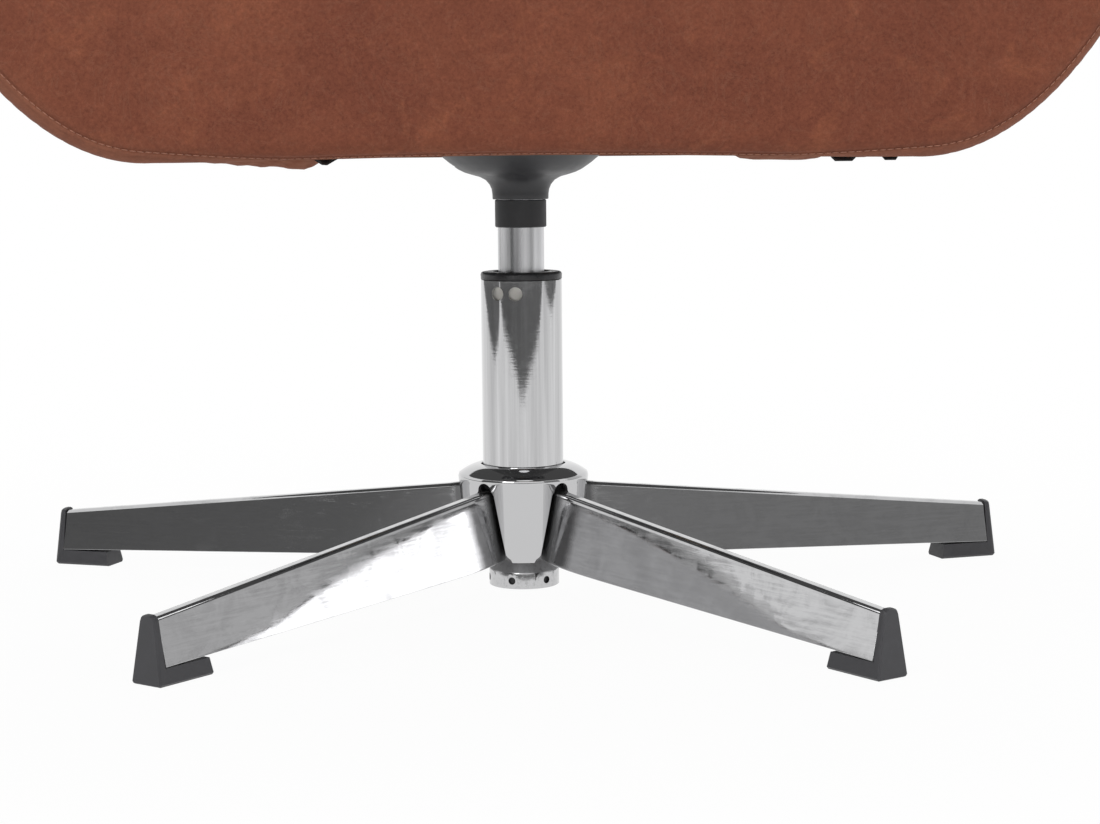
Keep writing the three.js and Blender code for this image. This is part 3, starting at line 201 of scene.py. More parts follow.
class ChairShapes(bpy.types.PropertyGroup):
    """Sizes of the soft shapes and of the sewing."""

    panel_round: length_setting("Panel rounding", "Radius of the front panel's edge", 9, 2, 15)
    stitch_pitch: length_setting("Stitch pitch", "From one stitch to the next", 3.5, 2, 8)
    stitch_long: length_setting("Stitch length", "Length of one stitch", 2.9, 1, 7)
    stitch_thick: length_setting("Thread", "Thickness of the sewing thread", 0.48, 0.3, 2)


def finishes():
    return bpy.context.scene.chair_finishes


def shapes():
    return bpy.context.scene.chair_shapes


# Materials


def feed(tree, value, socket):
    """Links a node's output into a socket, or sets the socket to a plain value."""
    if isinstance(value, bpy.types.NodeSocket):
        tree.links.new(value, socket)
    else:
        socket.default_value = value


def added(tree, kind, settings=None, **inputs):
    """A new shader node. An input is a plain value or another node's output."""
    made = tree.nodes.new("ShaderNode" + kind)
    for key, value in (settings or {}).items():
        setattr(made, key, value)
    for key, value in inputs.items():
        feed(tree, value, made.inputs[key.replace("_", " ")])
    return made


def reckoned(tree, operation, first, second):
    made = added(tree, "Math", {"operation": operation})
    for socket, value in zip(made.inputs, (first, second)):
        feed(tree, value, socket)
    return made.outputs["Value"]


def ranged(tree, value, low, high, start=0.0, end=1.0):
    """value mapped from low..high to start..end, held at both ends."""
    return added(
        tree, "MapRange", {"clamp": True}, Value=value, From_Min=low, From_Max=high, To_Min=start, To_Max=end
    ).outputs["Result"]


class Recipe:
    """A material built node by node around one surface shader."""

    def __init__(self, name, colour, roughness, metallic=0.0, specular=0.5):
        self.material = bpy.data.materials.new(name)
        self.material.use_nodes = True
        self.tree = self.material.node_tree
        self.shader = self.tree.nodes["Principled BSDF"]
        self.set("Base Color", opaque(colour))
        self.set("Roughness", roughness)
        self.set("Metallic", metallic)
        self.set("Specular IOR Level", specular)

    def set(self, socket, value):
        feed(self.tree, value, self.shader.inputs[socket])

    def node(self, kind, settings=None, **inputs):
        return added(self.tree, kind, settings, **inputs)

    def place(self, stretch=(1, 1, 1)):
        """The point on the piece in metres, stretched for streaks."""
        coordinates = self.node("TexCoord").outputs["Object"]
        return self.node("Mapping", Vector=coordinates, Scale=stretch).outputs["Vector"]

    def grain(self, size, detail=4.0, roughness=0.55, distortion=0.0, place=None):
        """Noise whose features are about size millimetres across."""
        return self.node(
            "TexNoise", Vector=place or self.place(), Scale=1 / (size * MM), Detail=detail,
            Roughness=roughness, Distortion=distortion,
        ).outputs["Fac"]

    def cells(self, size, feature="DISTANCE_TO_EDGE"):
        return self.node(
            "TexVoronoi", {"feature": feature}, Vector=self.place(), Scale=1 / (size * MM)
        ).outputs["Distance"]

    def ramp(self, value, *ends):
        return ranged(self.tree, value, *ends)

    def sum(self, first, second):
        return reckoned(self.tree, "ADD", first, second)

    def times(self, first, second):
        return reckoned(self.tree, "MULTIPLY", first, second)

    def blend(self, share, first, second):
        """From the first colour at a share of 0 to the second at 1."""
        made = self.node("Mix", {"data_type": "RGBA"}, Factor=share)
        for socket, value in zip(made.inputs[6:8], (first, second)):
            feed(self.tree, value if isinstance(value, bpy.types.NodeSocket) else opaque(value), socket)
        return made.outputs[2]

    def bump(self, *layers):
        """Layers of (height, strength, depth in millimetres), one over the other."""
        normal = None
        for height, strength, depth in layers:
            made = self.node("Bump", Height=height, Strength=strength, Distance=depth * MM)
            if normal:
                self.tree.links.new(normal, made.inputs["Normal"])
            normal = made.outputs["Normal"]
        self.set("Normal", normal)

    def painted(self, name):
        """A share that the piece's mesh carries point by point."""
        return self.node("Attribute", {"attribute_name": name}).outputs["Fac"]


def made_once(title):
    """Turns a recipe that takes a name into a function that makes the material of that name once."""
    def kept(recipe):
        def material():
            return bpy.data.materials.get(title) or recipe(title)

        return material

    return kept


def shade(colour, share):
    return tuple(channel * share for channel in colour)


@made_once("aged leather")
def leather(name):
    look = finishes()
    made = Recipe(name, look.leather, 0.66, specular=0.13)
    clouds = made.grain(70, detail=5, roughness=0.6, distortion=0.6)
    base = made.blend(made.ramp(clouds, 0.36, 0.64), look.leather_dark, look.leather)
    patches = made.grain(24, detail=6, roughness=0.68, distortion=0.9)
    orange = (look.leather[0] * 1.3, look.leather[1] * 1.36, look.leather[2] * 1.26)
    base = made.blend(made.ramp(patches, 0.54, 0.76, 0, 0.75), base, orange)
    nap = made.grain(1.6, detail=6, roughness=0.82, distortion=0.4)
    flecks = made.grain(9, detail=7, roughness=0.85, distortion=1.2)
    nap_tone = made.times(made.ramp(nap, 0.32, 0.68, 0.72, 1.28), made.ramp(flecks, 0.35, 0.65, 0.9, 1.1))
    base = made.node("VectorMath", {"operation": "SCALE"}, Vector=base, Scale=nap_tone).outputs["Vector"]
    veins = made.grain(30, detail=7, roughness=0.7, distortion=2.2)
    off_middle = reckoned(made.tree, "ABSOLUTE", reckoned(made.tree, "SUBTRACT", veins, 0.5), 0)
    vein = made.ramp(off_middle, 0, 0.012, 0.28, 0)
    base = made.blend(vein, base, look.leather_pale)
    # Paler where the mesh says so: leather drawn tight, and painted light on the front panel's lower rim and
    # the hem's fold ridges
    worn_and_lit = made.times(made.painted("worn_and_lit"), made.ramp(patches, 0.25, 0.75, 0.65, 1.0))
    base = made.blend(worn_and_lit, base, look.leather_pale)
    base = made.blend(made.painted("shaded"), base, shade(look.leather_dark, 0.45))
    made.set("Base Color", base)
    made.set("Roughness", made.ramp(nap, 0.3, 0.7, 0.72, 0.6))
    made.bump(
        (made.grain(45, detail=3, roughness=0.5), 0.25, 1.2),
        (made.cells(0.95), 0.16, 0.12),
        (nap, 0.4, 0.14),
    )
    return made.material


@made_once("polished chrome")
def chrome(name):
    look = finishes()
    made = Recipe(name, look.chrome, look.chrome_roughness, metallic=1.0)
    smears = made.grain(9, detail=6, roughness=0.7, distortion=1.0)
    low = look.chrome_roughness
    made.set("Roughness", made.ramp(smears, 0.4, 0.75, low, low + 0.07))
    made.bump((made.grain(38, detail=2), 0.10, 0.5), (made.grain(0.9, detail=4), 0.03, 0.03))
    return made.material


@made_once("drawn chrome")
def tube_chrome(name):
    look = finishes()
    made = Recipe(name, look.chrome, look.chrome_roughness, metallic=1.0)
    drawn = made.grain(5.5, detail=5, roughness=0.6, place=made.place((1, 1, 0.02)))
    pale = tuple(min(channel * 1.16, 1) for channel in look.chrome)
    dark = shade(look.chrome, 0.8)
    made.set("Base Color", made.blend(made.ramp(drawn, 0.34, 0.66), dark, pale))
    low = look.chrome_roughness
    made.set("Roughness", made.ramp(made.grain(6, detail=5), 0.4, 0.75, low, low + 0.05))
    rings = made.grain(1.3, detail=4, roughness=0.65, place=made.place((0.12, 0.12, 1)))
    made.bump((rings, 1.0, 0.01), (made.grain(30), 0.05, 0.2))
    return made.material


@made_once("brushed chrome")
def leg_chrome(name):
    look = finishes()
    made = Recipe(name, look.chrome, look.chrome_roughness, metallic=1.0)
    sheet = made.node("UVMap", {"uv_map": "sheet"}).outputs["UV"]
    lines = made.node("Mapping", Vector=sheet, Scale=(26, 420, 1)).outputs["Vector"]
    brushed = made.node("TexNoise", Vector=lines, Scale=1.0, Detail=6.0, Roughness=0.72).outputs["Fac"]
    smears = made.grain(22, detail=6, roughness=0.66, distortion=1.2)
    slanted = made.node(
        "Mapping", Vector=sheet, Rotation=(0, 0, -0.55), Scale=(90, 1500, 1)
    ).outputs["Vector"]
    scratched = made.node("TexNoise", Vector=slanted, Scale=1.0, Detail=3.0, Roughness=0.6).outputs["Fac"]
    spots = made.ramp(made.times(brushed, smears), 0.2, 0.36)
    base = made.blend(spots, look.chrome, shade(look.chrome, 0.84))
    base = made.blend(made.ramp(scratched, 0.6, 0.72, 0, 0.35), base, shade(look.chrome, 1.3))
    # Painted shade: the flank is darkened, and dulled, over its first few millimetres out of the hub's slot,
    # along an edge that slants with height
    height = made.node("SeparateXYZ", Vector=made.place()).outputs["Z"]
    out = made.node("SeparateXYZ", Vector=sheet).outputs["X"]
    out = made.sum(out, made.sum(made.times(height, -0.1), made.ramp(smears, 0, 1, -0.003, 0.003)))
    inner = made.ramp(out, 0.0365, 0.0425, 1, 0)
    made.set("Base Color", made.blend(inner, base, shade(look.chrome, 0.3)))
    low = look.chrome_roughness
    made.set("Roughness", made.sum(made.ramp(spots, 0, 1, low, low + 0.13), made.times(inner, 0.3)))
    rolled = made.times(height, -1.0)
    made.bump(
        (rolled, 1.0, 1000 * ROLLED), (made.grain(70, detail=1), 0.06, 0.5), (brushed, 0.05, 0.05),
        (scratched, 0.06, 0.05), (made.grain(4, detail=5, roughness=0.7), 0.05, 0.06),
    )
    return made.material


@made_once("ground steel")
def steel(name):
    look = finishes()
    made = Recipe(name, look.steel, 0.26, metallic=1.0)
    streaks = made.grain(7.5, detail=3, roughness=0.45, place=made.place((1, 1, 0.02)))
    stains = made.grain(5, detail=7, roughness=0.8)
    pale, dark = shade(look.steel, 1.4), shade(look.steel, 0.6)
    base = made.blend(made.ramp(streaks, 0.38, 0.62), dark, pale)
    made.set("Base Color", made.blend(made.ramp(stains, 0.62, 0.8, 0, 0.6), base, dark))
    made.set("Roughness", made.ramp(streaks, 0.3, 0.7, 0.18, 0.36))
    made.bump((streaks, 0.08, 0.05),)
    return made.material


@made_once("dull cut steel")
def dull_steel(name):
    made = Recipe(name, linear(118, 117, 119), 0.55, metallic=0.6)
    rough = made.grain(3, detail=6, roughness=0.7)
    tone = made.ramp(rough, 0.35, 0.68)
    made.set("Base Color", made.blend(tone, linear(96, 95, 97), linear(150, 149, 151)))
    made.bump((rough, 0.4, 0.2),)
    return made.material


@made_once("satin chrome")
def satin_chrome(name):
    look = finishes()
    made = Recipe(name, look.chrome, 0.2, metallic=1.0)
    rough = made.grain(2.4, detail=6, roughness=0.75)
    scars = made.ramp(rough, 0.5, 0.72)
    base = made.blend(scars, look.chrome, shade(look.chrome, 0.8))
    height = made.node("SeparateXYZ", Vector=made.place()).outputs["Z"]
    shoulder = made.ramp(height, 11.4 * MM, 12.2 * MM)
    dull = made.blend(scars, (0.36, 0.36, 0.37), (0.2, 0.2, 0.2))
    made.set("Base Color", made.blend(shoulder, base, dull))
    made.set("Metallic", made.ramp(shoulder, 0, 1, 1, 0.25))
    made.set("Roughness", made.sum(made.ramp(scars, 0, 1, 0.12, 0.34), made.times(shoulder, 0.35)))
    made.bump((rough, 0.1, 0.1), (made.grain(12), 0.35, 0.4))
    return made.material


@made_once("zinc-plated steel")
def plated_steel(name):
    made = Recipe(name, finishes().steel, 0.35, metallic=1.0)
    cloudy = made.grain(12, detail=5, roughness=0.65)
    dull = shade(finishes().steel, 0.62)
    made.set("Base Color", made.blend(made.ramp(cloudy, 0.35, 0.7), finishes().steel, dull))
    made.set("Roughness", made.ramp(cloudy, 0.3, 0.7, 0.28, 0.5))
    made.bump((made.grain(0.7), 0.1, 0.04),)
    return made.material


def black_plastic(name="black moulded plastic", tone=None, roughness=0.42, grain=0.6, depth=0.05):
    if name in bpy.data.materials:
        return bpy.data.materials[name]
    colour = tone or finishes().black
    made = Recipe(name, colour, roughness, specular=0.45)
    dusty = made.grain(7, detail=6, roughness=0.7)
    grey = tuple(channel * 1.5 + 0.004 for channel in colour)
    made.set("Base Color", made.blend(made.ramp(dusty, 0.45, 0.8, 0, 0.5), colour, grey))
    made.set("Roughness", made.ramp(dusty, 0.3, 0.7, roughness - 0.07, roughness + 0.08))
    made.bump((made.grain(grain, detail=3), 0.3, depth),)
    return made.material


def foot_plastic():
    return black_plastic("grained foot plastic", finishes().foot, 0.46, 0.8, 0.09)


@made_once("natural nylon")
def nylon(name):
    made = Recipe(name, linear(222, 220, 214), 0.45)
    made.set("Subsurface Weight", 0.15)
    made.set("Subsurface Radius", (0.002, 0.002, 0.002))
    made.bump((made.grain(1.2), 0.15, 0.04),)
    return made.material


@made_once("black rubber")
def rubber(name):
    made = Recipe(name, linear(28, 28, 28), 0.8, specular=0.3)
    made.bump((made.grain(0.8), 0.3, 0.06),)
    return made.material


@made_once("raw birch")
def birch(name):
    look = finishes()
    made = Recipe(name, look.wood, 0.7, specular=0.25)
    rings = made.grain(6, detail=5, roughness=0.6, distortion=0.5, place=made.place((0.06, 1, 1)))
    dark = shade(look.wood, 0.62)
    base = made.blend(made.ramp(rings, 0.42, 0.62), look.wood, dark)
    pores = made.grain(0.5, detail=3, place=made.place((0.08, 1, 1)))
    made.set("Base Color", made.blend(made.ramp(pores, 0.6, 0.75, 0, 0.4), base, dark))
    made.bump((pores, 0.25, 0.08),)
    return made.material


@made_once("pressed cloth")
def black_cloth(name):
    look = finishes()
    made = Recipe(name, look.cloth, 0.9, specular=0.15)
    fibres = made.cells(1.8, "F1")
    base = made.blend(made.ramp(fibres, 0.1, 0.7, 0, 0.6), look.cloth, linear(52, 52, 54))
    made.set("Base Color", base)
    made.set("Sheen Weight", 0.25)
    made.bump((fibres, 0.5, 0.2), (made.grain(14, detail=3), 0.4, 1.2))
    return made.material


@made_once("sewing thread")
def thread(name):
    made = Recipe(name, finishes().thread, 0.6, specular=0.3)
    made.set("Sheen Weight", 0.2)
    made.bump((made.grain(0.35, detail=2), 0.4, 0.08),)
    return made.material


# Mesh helpers


def started(name, bm, material, in_metres=False):
    """A new object from a bmesh made in millimetres."""
    if not in_metres:
        bmesh.ops.scale(bm, vec=(MM, MM, MM), verts=bm.verts)
    mesh = bpy.data.meshes.new(name)
    bm.to_mesh(mesh)
    bm.free()
    mesh.materials.append(material)
    piece = bpy.data.objects.new(name, mesh)
    bpy.context.scene.collection.objects.link(piece)
    return piece


def finished(piece, body, slot=None, stands_for=(), sharp=35.0, weighted=False):
    """Shades a piece, gives it its body, and hides the nodes that it stands for. The slot is not used."""
    piece.data.shade_smooth()
    piece.data.set_sharp_from_angle(angle=math.radians(sharp))
    if weighted:
        piece.modifiers.new("even shading", "WEIGHTED_NORMAL").keep_sharp = True
    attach(piece, body)
    if stands_for:
        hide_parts(*stands_for)
    return piece


def settled(piece):
    """Writes a piece's modifiers into its mesh."""
    graph = bpy.context.evaluated_depsgraph_get()
    graph.update()
    mesh = bpy.data.meshes.new_from_object(piece.evaluated_get(graph), depsgraph=graph)
    old = piece.data
    piece.modifiers.clear()
    piece.data = mesh
    bpy.data.meshes.remove(old)
    return piece


def carved(piece, tools):
    """Cuts tools out of a piece and removes them. The cut faces take the tools' material."""
    for tool in tools:
        cut = piece.modifiers.new("cut", "BOOLEAN")
        cut.material_mode = "TRANSFER"
        cut.operation = "DIFFERENCE"
        cut.solver = "EXACT"
        cut.object = tool
    bpy.context.view_layer.update()
    settled(piece)
    for tool in tools:
        bpy.data.objects.remove(tool)
    return piece


def outward(bm):
    bmesh.ops.recalc_face_normals(bm, faces=bm.faces)


def softened(bm, width, angle=30.0, segments=3):
    """Rounds a bmesh's sharp edges, in the bmesh's own unit."""
    edges = [
        edge for edge in bm.edges
        if len(edge.link_faces) == 2 and abs(edge.calc_face_angle()) > math.radians(angle)
    ]
    if edges:
        bmesh.ops.bevel(
            bm, geom=edges, offset=width, segments=segments, profile=0.5, affect="EDGES",
            clamp_overlap=True, material=-1,
        )
    return bm


def spun(profile, steps=128):
    """A profile of [radius, height] pairs turned about the Z axis. It closes on itself or on the axis."""
    bm = bmesh.new()
    points = [bm.verts.new((radius, 0, height)) for radius, height in profile]
    if profile[0] == profile[-1]:
        bm.verts.remove(points.pop())
        pairs = zip(points, points[1:] + points[:1])
    else:
        pairs = zip(points, points[1:])
    edges = [bm.edges.new(pair) for pair in pairs]
    bmesh.ops.spin(
        bm, geom=points + edges, cent=(0, 0, 0), axis=(0, 0, 1), dvec=(0, 0, 0),
        angle=2 * math.pi, steps=steps, use_merge=True,
    )
    bmesh.ops.remove_doubles(bm, verts=bm.verts, dist=0.0005)
    outward(bm)
    return bm


def sheet_of(across, along, place, seam=0.01):
    """A grid whose every point is put where place(u, v) says, both from 0 to 1. Its ends merge where
    they meet."""
    bm = bmesh.new()
    bmesh.ops.create_grid(bm, x_segments=across, y_segments=along, size=0.5)
    for vert in bm.verts:
        vert.co = place(vert.co.x + 0.5, vert.co.y + 0.5)
    bmesh.ops.remove_doubles(bm, verts=bm.verts, dist=seam)
    return bm


def in_millimetres(piece):
    """A piece's mesh, to be changed in millimetres and written back."""
    bm = bmesh.new()
    bm.from_mesh(piece.data)
    bmesh.ops.scale(bm, vec=(1 / MM,) * 3, verts=bm.verts)
    return bm


def written(bm, piece):
    bmesh.ops.scale(bm, vec=(MM,) * 3, verts=bm.verts)
    bm.to_mesh(piece.data)
    bm.free()


def corners_of(low, high):
    """A box's two corners and its middle, in millimetres."""
    low, high = [value / MM for value in low], [value / MM for value in high]
    return low, high, [(a + b) / 2 for a, b in zip(low, high)]


def area_of(bm):
    """The area in square metres of a mesh in millimetres."""
    return sum(face.calc_area() for face in bm.faces) * MM * MM


def facing_down(bm):
    if sum(face.normal.z for face in bm.faces) > 0:
        bmesh.ops.reverse_faces(bm, faces=bm.faces)


def thickened(bm, thickness):
    bmesh.ops.solidify(bm, geom=bm.faces[:], thickness=thickness)
    outward(bm)


def dressed(node, material):
    """Gives a node that stays in the picture its material."""
    mesh = NODES[node].data
    mesh.materials.clear()
    mesh.materials.append(material)


def capped(bm):
    """Closes a bmesh's open ends."""
    rim = [edge for edge in bm.edges if edge.is_boundary]
    if rim:
        bmesh.ops.holes_fill(bm, edges=rim, sides=0)
    outward(bm)
    return bm


def refined(node, material, width=0.6, angle=30.0, segments=2):
    """A copy of a node with its edges rounded, which stands for it."""
    bm = bmesh.new()
    bm.from_mesh(NODES[node].data)
    bmesh.ops.remove_doubles(bm, verts=bm.verts, dist=1e-6)
    bmesh.ops.dissolve_limit(
        bm, angle_limit=math.radians(1.0), verts=bm.verts, edges=bm.edges, delimit=set()
    )
    softened(bm, width * MM, angle, segments)
    return started(f"{node}_finish", bm, material, in_metres=True)


def swept(name, points, thick, material, steps):
    """A round cord along points in metres, as a mesh."""
    curve = bpy.data.curves.new(name, "CURVE")
    curve.dimensions = "3D"
    curve.bevel_depth = thick / 2
    curve.bevel_resolution = steps
    curve.use_fill_caps = True
    line = curve.splines.new("POLY")
    line.points.add(len(points) - 1)
    for place, point in zip(line.points, points):
        place.co = (*point, 1.0)
    holder = bpy.data.objects.new(name, curve)
    bpy.context.scene.collection.objects.link(holder)
    graph = bpy.context.evaluated_depsgraph_get()
    graph.update()
    mesh = bpy.data.meshes.new_from_object(holder.evaluated_get(graph), depsgraph=graph)
    bpy.data.objects.remove(holder)
    bm = bmesh.new()
    bm.from_mesh(mesh)
    bpy.data.meshes.remove(mesh)
    return started(name, bm, material, in_metres=True)


def spaced(points, pitch):
    """Places every pitch along a line of points, each with the line's direction there."""
    places = []
    left = pitch / 2
    for before, after in zip(points, points[1:]):
        step = after - before
        length = step.length
        if length < 1e-9:
            continue
        while left <= length:
            places.append((before + step * (left / length), step / length))
            left += pitch
        left -= length
    return places


def sewn(name, lines, body):
    """Stitches along lines of (point, outward normal) pairs in metres: small rounded threads that dip
    into the leather at both ends."""
    look = shapes()
    bm = bmesh.new()
    for line in lines:
        normals = KDTree(len(line))
        for index, (point, _) in enumerate(line):
            normals.insert(point, index)
        normals.balance()
        for centre, direction in spaced([point for point, _ in line], look.stitch_pitch):
            normal = line[normals.find(centre)[1]][1]
            side = direction.cross(normal).normalized()
            lift = side.cross(direction).normalized()
            shape = Matrix((
                direction * (look.stitch_long / 2), side * (look.stitch_thick / 2),
                lift * (look.stitch_thick / 2),
            )).transposed().to_4x4()
            shape.translation = centre + lift * (look.stitch_thick * 0.18)
            bmesh.ops.create_icosphere(bm, subdivisions=1, radius=1.12, matrix=shape)
    piece = started(name, bm, thread(), in_metres=True)
    return finished(piece, body, "leather", sharp=180)


def clamped(value, low, high):
    return max(low, min(high, value))


def smooth(value, low, high):
    """0 below low and 1 above high, with a soft rise between them."""
    share = clamped((value - low) / (high - low), 0.0, 1.0)
    return share * share * (3 - 2 * share)


def wavy(point, size, seed=0.0):
    """Smooth noise from -1 to 1 at a point in millimetres, with features about size across."""
    return noise.noise(Vector(point) / size + Vector((seed, seed * 1.7, seed * 0.6)))


# Shapes of the upholstered body


def corner_angle(height, high):
    return math.acos(clamped((CORNER_CENTRE - height) / high, -1.0, 1.0))


def corner_point(angle, wide, high):
    """A point of the rounded corner at the seat's side, as x and z."""
    return FLAT_HALF + wide * math.sin(angle), CORNER_CENTRE - high * math.cos(angle)


def inner_half(height):
    """Half the room between the arms."""
    if height <= APRON_TOP:
        return ARM_EDGE
    if height < HEM_HEIGHT:
        return ARM_EDGE + ARM_HEM * (height - APRON_TOP) / (HEM_HEIGHT - APRON_TOP)
    return FLAT_HALF + INNER_WIDE * math.sin(corner_angle(min(height, CORNER_CENTRE), INNER_HIGH))


def back_rear(height):
    share = max(height - RAIL_TOP, 0) / (BACK_TOP - RAIL_TOP)
    return BACK_REAR_FOOT + BACK_LEAN * share * (1 + BACK_CURVE * (1 - share))


def back_thick(height):
    share = max(height - RAIL_TOP, 0) / (BACK_TOP - RAIL_TOP)
    return BACK_THICK + (BACK_TOP_THICK - BACK_THICK) * share


def bottom_rise(x):
    """The front panel's lower edge rises a little towards the middle."""
    share = min(abs(x) / BOTTOM_RISE_HALF, 1)
    return BOTTOM_RISE * (1 - share * share) ** 2 + 0.1


# Front panel


def panel_edges(share):
    """A point on the panel's outer edge and the one across from it, share from 0 at the middle of the
    bottom to 1 at the arm's top."""
    shoulder = ARM_TOP_FRONT - ARM_ROUND
    outer_end = corner_angle(shoulder, CORNER_HIGH)
    inner_end = corner_angle(shoulder, INNER_HIGH)
    if share < FLAT_END:
        x = FLAT_HALF * share / FLAT_END
        return Vector((x, SEAT_BOTTOM + bottom_rise(x))), Vector((x, APRON_TOP))
    if share < CORNER_END:
        part = (share - FLAT_END) / (CORNER_END - FLAT_END)
        return (
            Vector(corner_point(outer_end * part, CORNER_WIDE, CORNER_HIGH)),
            Vector(corner_point(inner_end * part, INNER_WIDE, INNER_HIGH)),
        )
    part = (share - CORNER_END) / (1 - CORNER_END) * math.pi / 2
    start = FLAT_HALF + CORNER_WIDE * math.sin(outer_end)
    finish = FLAT_HALF + INNER_WIDE * math.sin(inner_end)
    middle, half = (start + finish) / 2, (start - finish) / 2
    rise = shoulder + ARM_ROUND * math.sin(part)
    return Vector((middle + half * math.cos(part), rise)), Vector((middle - half * math.cos(part), rise))


def seam_inset(x):
    """How far the top-stitching lies inside the panel's outer edge. It nearly meets the edge in the
    middle and runs further in at the corners."""
    reach = abs(x)
    widest = 7.4 if x < 0 else 4.2
    corner = 5.4 if x < 0 else 4.6
    if reach < SEAM_LEAVES:
        return SEAM_INSET
    if reach < SEAM_AT_CORNER:
        share = (reach - SEAM_LEAVES) / (SEAM_AT_CORNER - SEAM_LEAVES)
        return SEAM_INSET + (corner - SEAM_INSET) * share**1.2
    if reach < SEAM_SETTLES:
        return corner + (widest - corner) * (reach - SEAM_AT_CORNER) / (SEAM_SETTLES - SEAM_AT_CORNER)
    return widest


def panel_point(share, across, round_by, tree, edge_line):
    """A point on the panel's front, across from 0 at the outer edge to 1 at the inner one."""
    outer, inner = panel_edges(abs(share))
    flat = outer.lerp(inner, across)
    if share < 0:
        flat = Vector((-flat.x, flat.y))
        outer = Vector((-outer.x, outer.y))
    near, index, gap = tree.find((flat.x, flat.y, 0))
    near = Vector((near.x, near.y))
    sunk = max(round_by - gap, 0) / round_by
    depth = round_by * (1 - math.sqrt(max(1 - sunk * sunk, 0)))
    away = (near - flat).normalized() if gap > 0.01 else edge_line[index]
    crown = 1.6 * (1 - math.exp(-max(gap - 4, 0) / 24))
    groove_at = seam_inset(near.x) if edge_line[index].y < 0.75 or near.y < APRON_TOP - 1 else 6
    groove = 0.75 * math.exp(-(((gap - groove_at) / 0.75) ** 2))
    pucker = 0.28 * math.exp(-abs(gap - groove_at) / 5) * wavy((near.x, near.y, 0), 7, 3)
    push = groove - pucker
    facing = math.sqrt(max(1 - sunk * sunk, 0))
    slack = 0.7 * wavy((flat.x, flat.y, 0), 90, 8) * (1 - sunk)
    return Vector((
        flat.x - away.x * sunk * push,
        FRONT_FACE + depth - crown + facing * push + slack,
        flat.y - away.y * sunk * push,
    ))


class CHAIR_OT_front_panel(bpy.types.Operator):
    """Makes the leather front panel with its rolled edge and top-stitching"""

    bl_idname = "chair.front_panel"
    bl_label = "Front panel"

    NEAR_EDGE = (0, 0.25, 0.6, 1.0, 1.5, 2.1, 2.8, 3.5, 4.2, 5.0, 5.8, 6.6, 7.4, 8.2, 9.2, 11, 14, 18, 24, 31)

    def execute(self, context):
        round_by = shapes().panel_round / MM
        edges = [panel_edges(i / 1200) for i in range(1201)]
        outline = [outer for outer, _ in edges] + [inner for _, inner in reversed(edges)]
        outline += [Vector((-point.x, point.y)) for point in reversed(outline)]
        tree = KDTree(len(outline))
        away = []
        for index, point in enumerate(outline):
            tree.insert((point.x, point.y, 0), index)
            before, after = outline[index - 1], outline[(index + 1) % len(outline)]
            along = after - before
            if along.length < 1e-6:
                along = Vector((1, 0))
            along.normalize()
            away.append(Vector((along.y, -along.x)))
        tree.balance()
        steps = self.NEAR_EDGE
        columns = len(steps) * 2
        wall = 3

        def across_share(index, width):
            scale = min(1.0, width / 2 / (steps[-1] + 4))
            if index < len(steps):
                return steps[index] * scale / max(width, 1e-6)
            return 1 - steps[columns - 1 - index] * scale / max(width, 1e-6)

        total = columns - 1 + 2 * wall

        def place(u, v):
            share = v * 2 - 1
            outer, inner = panel_edges(abs(share))
            width = (outer - inner).length
            ring = round(u * (total + 3))
            if ring <= total:
                index = min(max(ring - wall, 0), columns - 1)
                point = panel_point(share, across_share(index, width), round_by, tree, away)
                if ring < wall:
                    point.y = PANEL_BACK + (point.y - PANEL_BACK) * ring / wall
                elif ring > columns - 1 + wall:
                    point.y = PANEL_BACK + (point.y - PANEL_BACK) * (total - ring) / wall
                return point
            part = (ring - total) / 3
            point = outer.lerp(inner, 1 - part)
            return Vector((math.copysign(point.x, share) if share else 0, PANEL_BACK, point.y))

        bm = sheet_of(total + 3, 420, place)
        worn_and_lit = bm.verts.layers.float.new("worn_and_lit")
        shaded = bm.verts.layers.float.new("shaded")
        # Paler beyond the top-stitching, most in the middle of the bottom: partly leather drawn tight over
        # the roll, partly painted light from the floor on the rolled-under rim
        for vert in bm.verts:
            gap = tree.find((vert.co.x, vert.co.z, 0))[2]
            inset = seam_inset(vert.co.x)
            beyond = clamped((inset + 0.4 - gap) / 1.2, 0.0, 1.0)
            near = math.exp(-max(gap - inset, 0) / 2.5)
            middle = 1 - smooth(abs(vert.co.x), 90, 190)
            vert[worn_and_lit] = max((0.42 + 0.45 * middle) * beyond, 0.2 * near)
            vert[shaded] = 0.4 * math.exp(-(((gap - inset - 0.1) / 0.5) ** 2))
            if vert.co.x < -150:
                vert[shaded] += 0.2 * math.exp(-(((gap - inset + 2.6) / 0.4) ** 2))
        outward(bm)
        piece = started("front_panel_leather", bm, leather())
        finished(piece, "seat", "leather", ["front_panel"], sharp=70)

        surface = BVHTree.FromObject(piece, context.evaluated_depsgraph_get())
        line = []
        for i in range(2401):
            share = i / 1200 - 1
            outer, inner = panel_edges(abs(share))
            if share < 0:
                outer, inner = Vector((-outer.x, outer.y)), Vector((-inner.x, inner.y))
            toward = (inner - outer).normalized()
            seat_at = outer + toward * seam_inset(outer.x)
            start = Vector((seat_at.x * MM, (FRONT_FACE - 20) * MM, seat_at.y * MM))
            point, normal, _, _ = surface.ray_cast(start, Vector((0, 1, 0)))
            if point:
                line.append((point, normal))
        sewn("front_panel_stitching", [line], "seat")
        return {"FINISHED"}


# Arms, back and cushions


def loop_surface(rings):
    """A closed skin through rings of the same number of points, with its ends closed."""
    count, last = len(rings[0]), len(rings) - 1
    return capped(sheet_of(
        count, last, lambda u, v: rings[round(v * last)][round(u * count) % count], seam=0.001
    ))


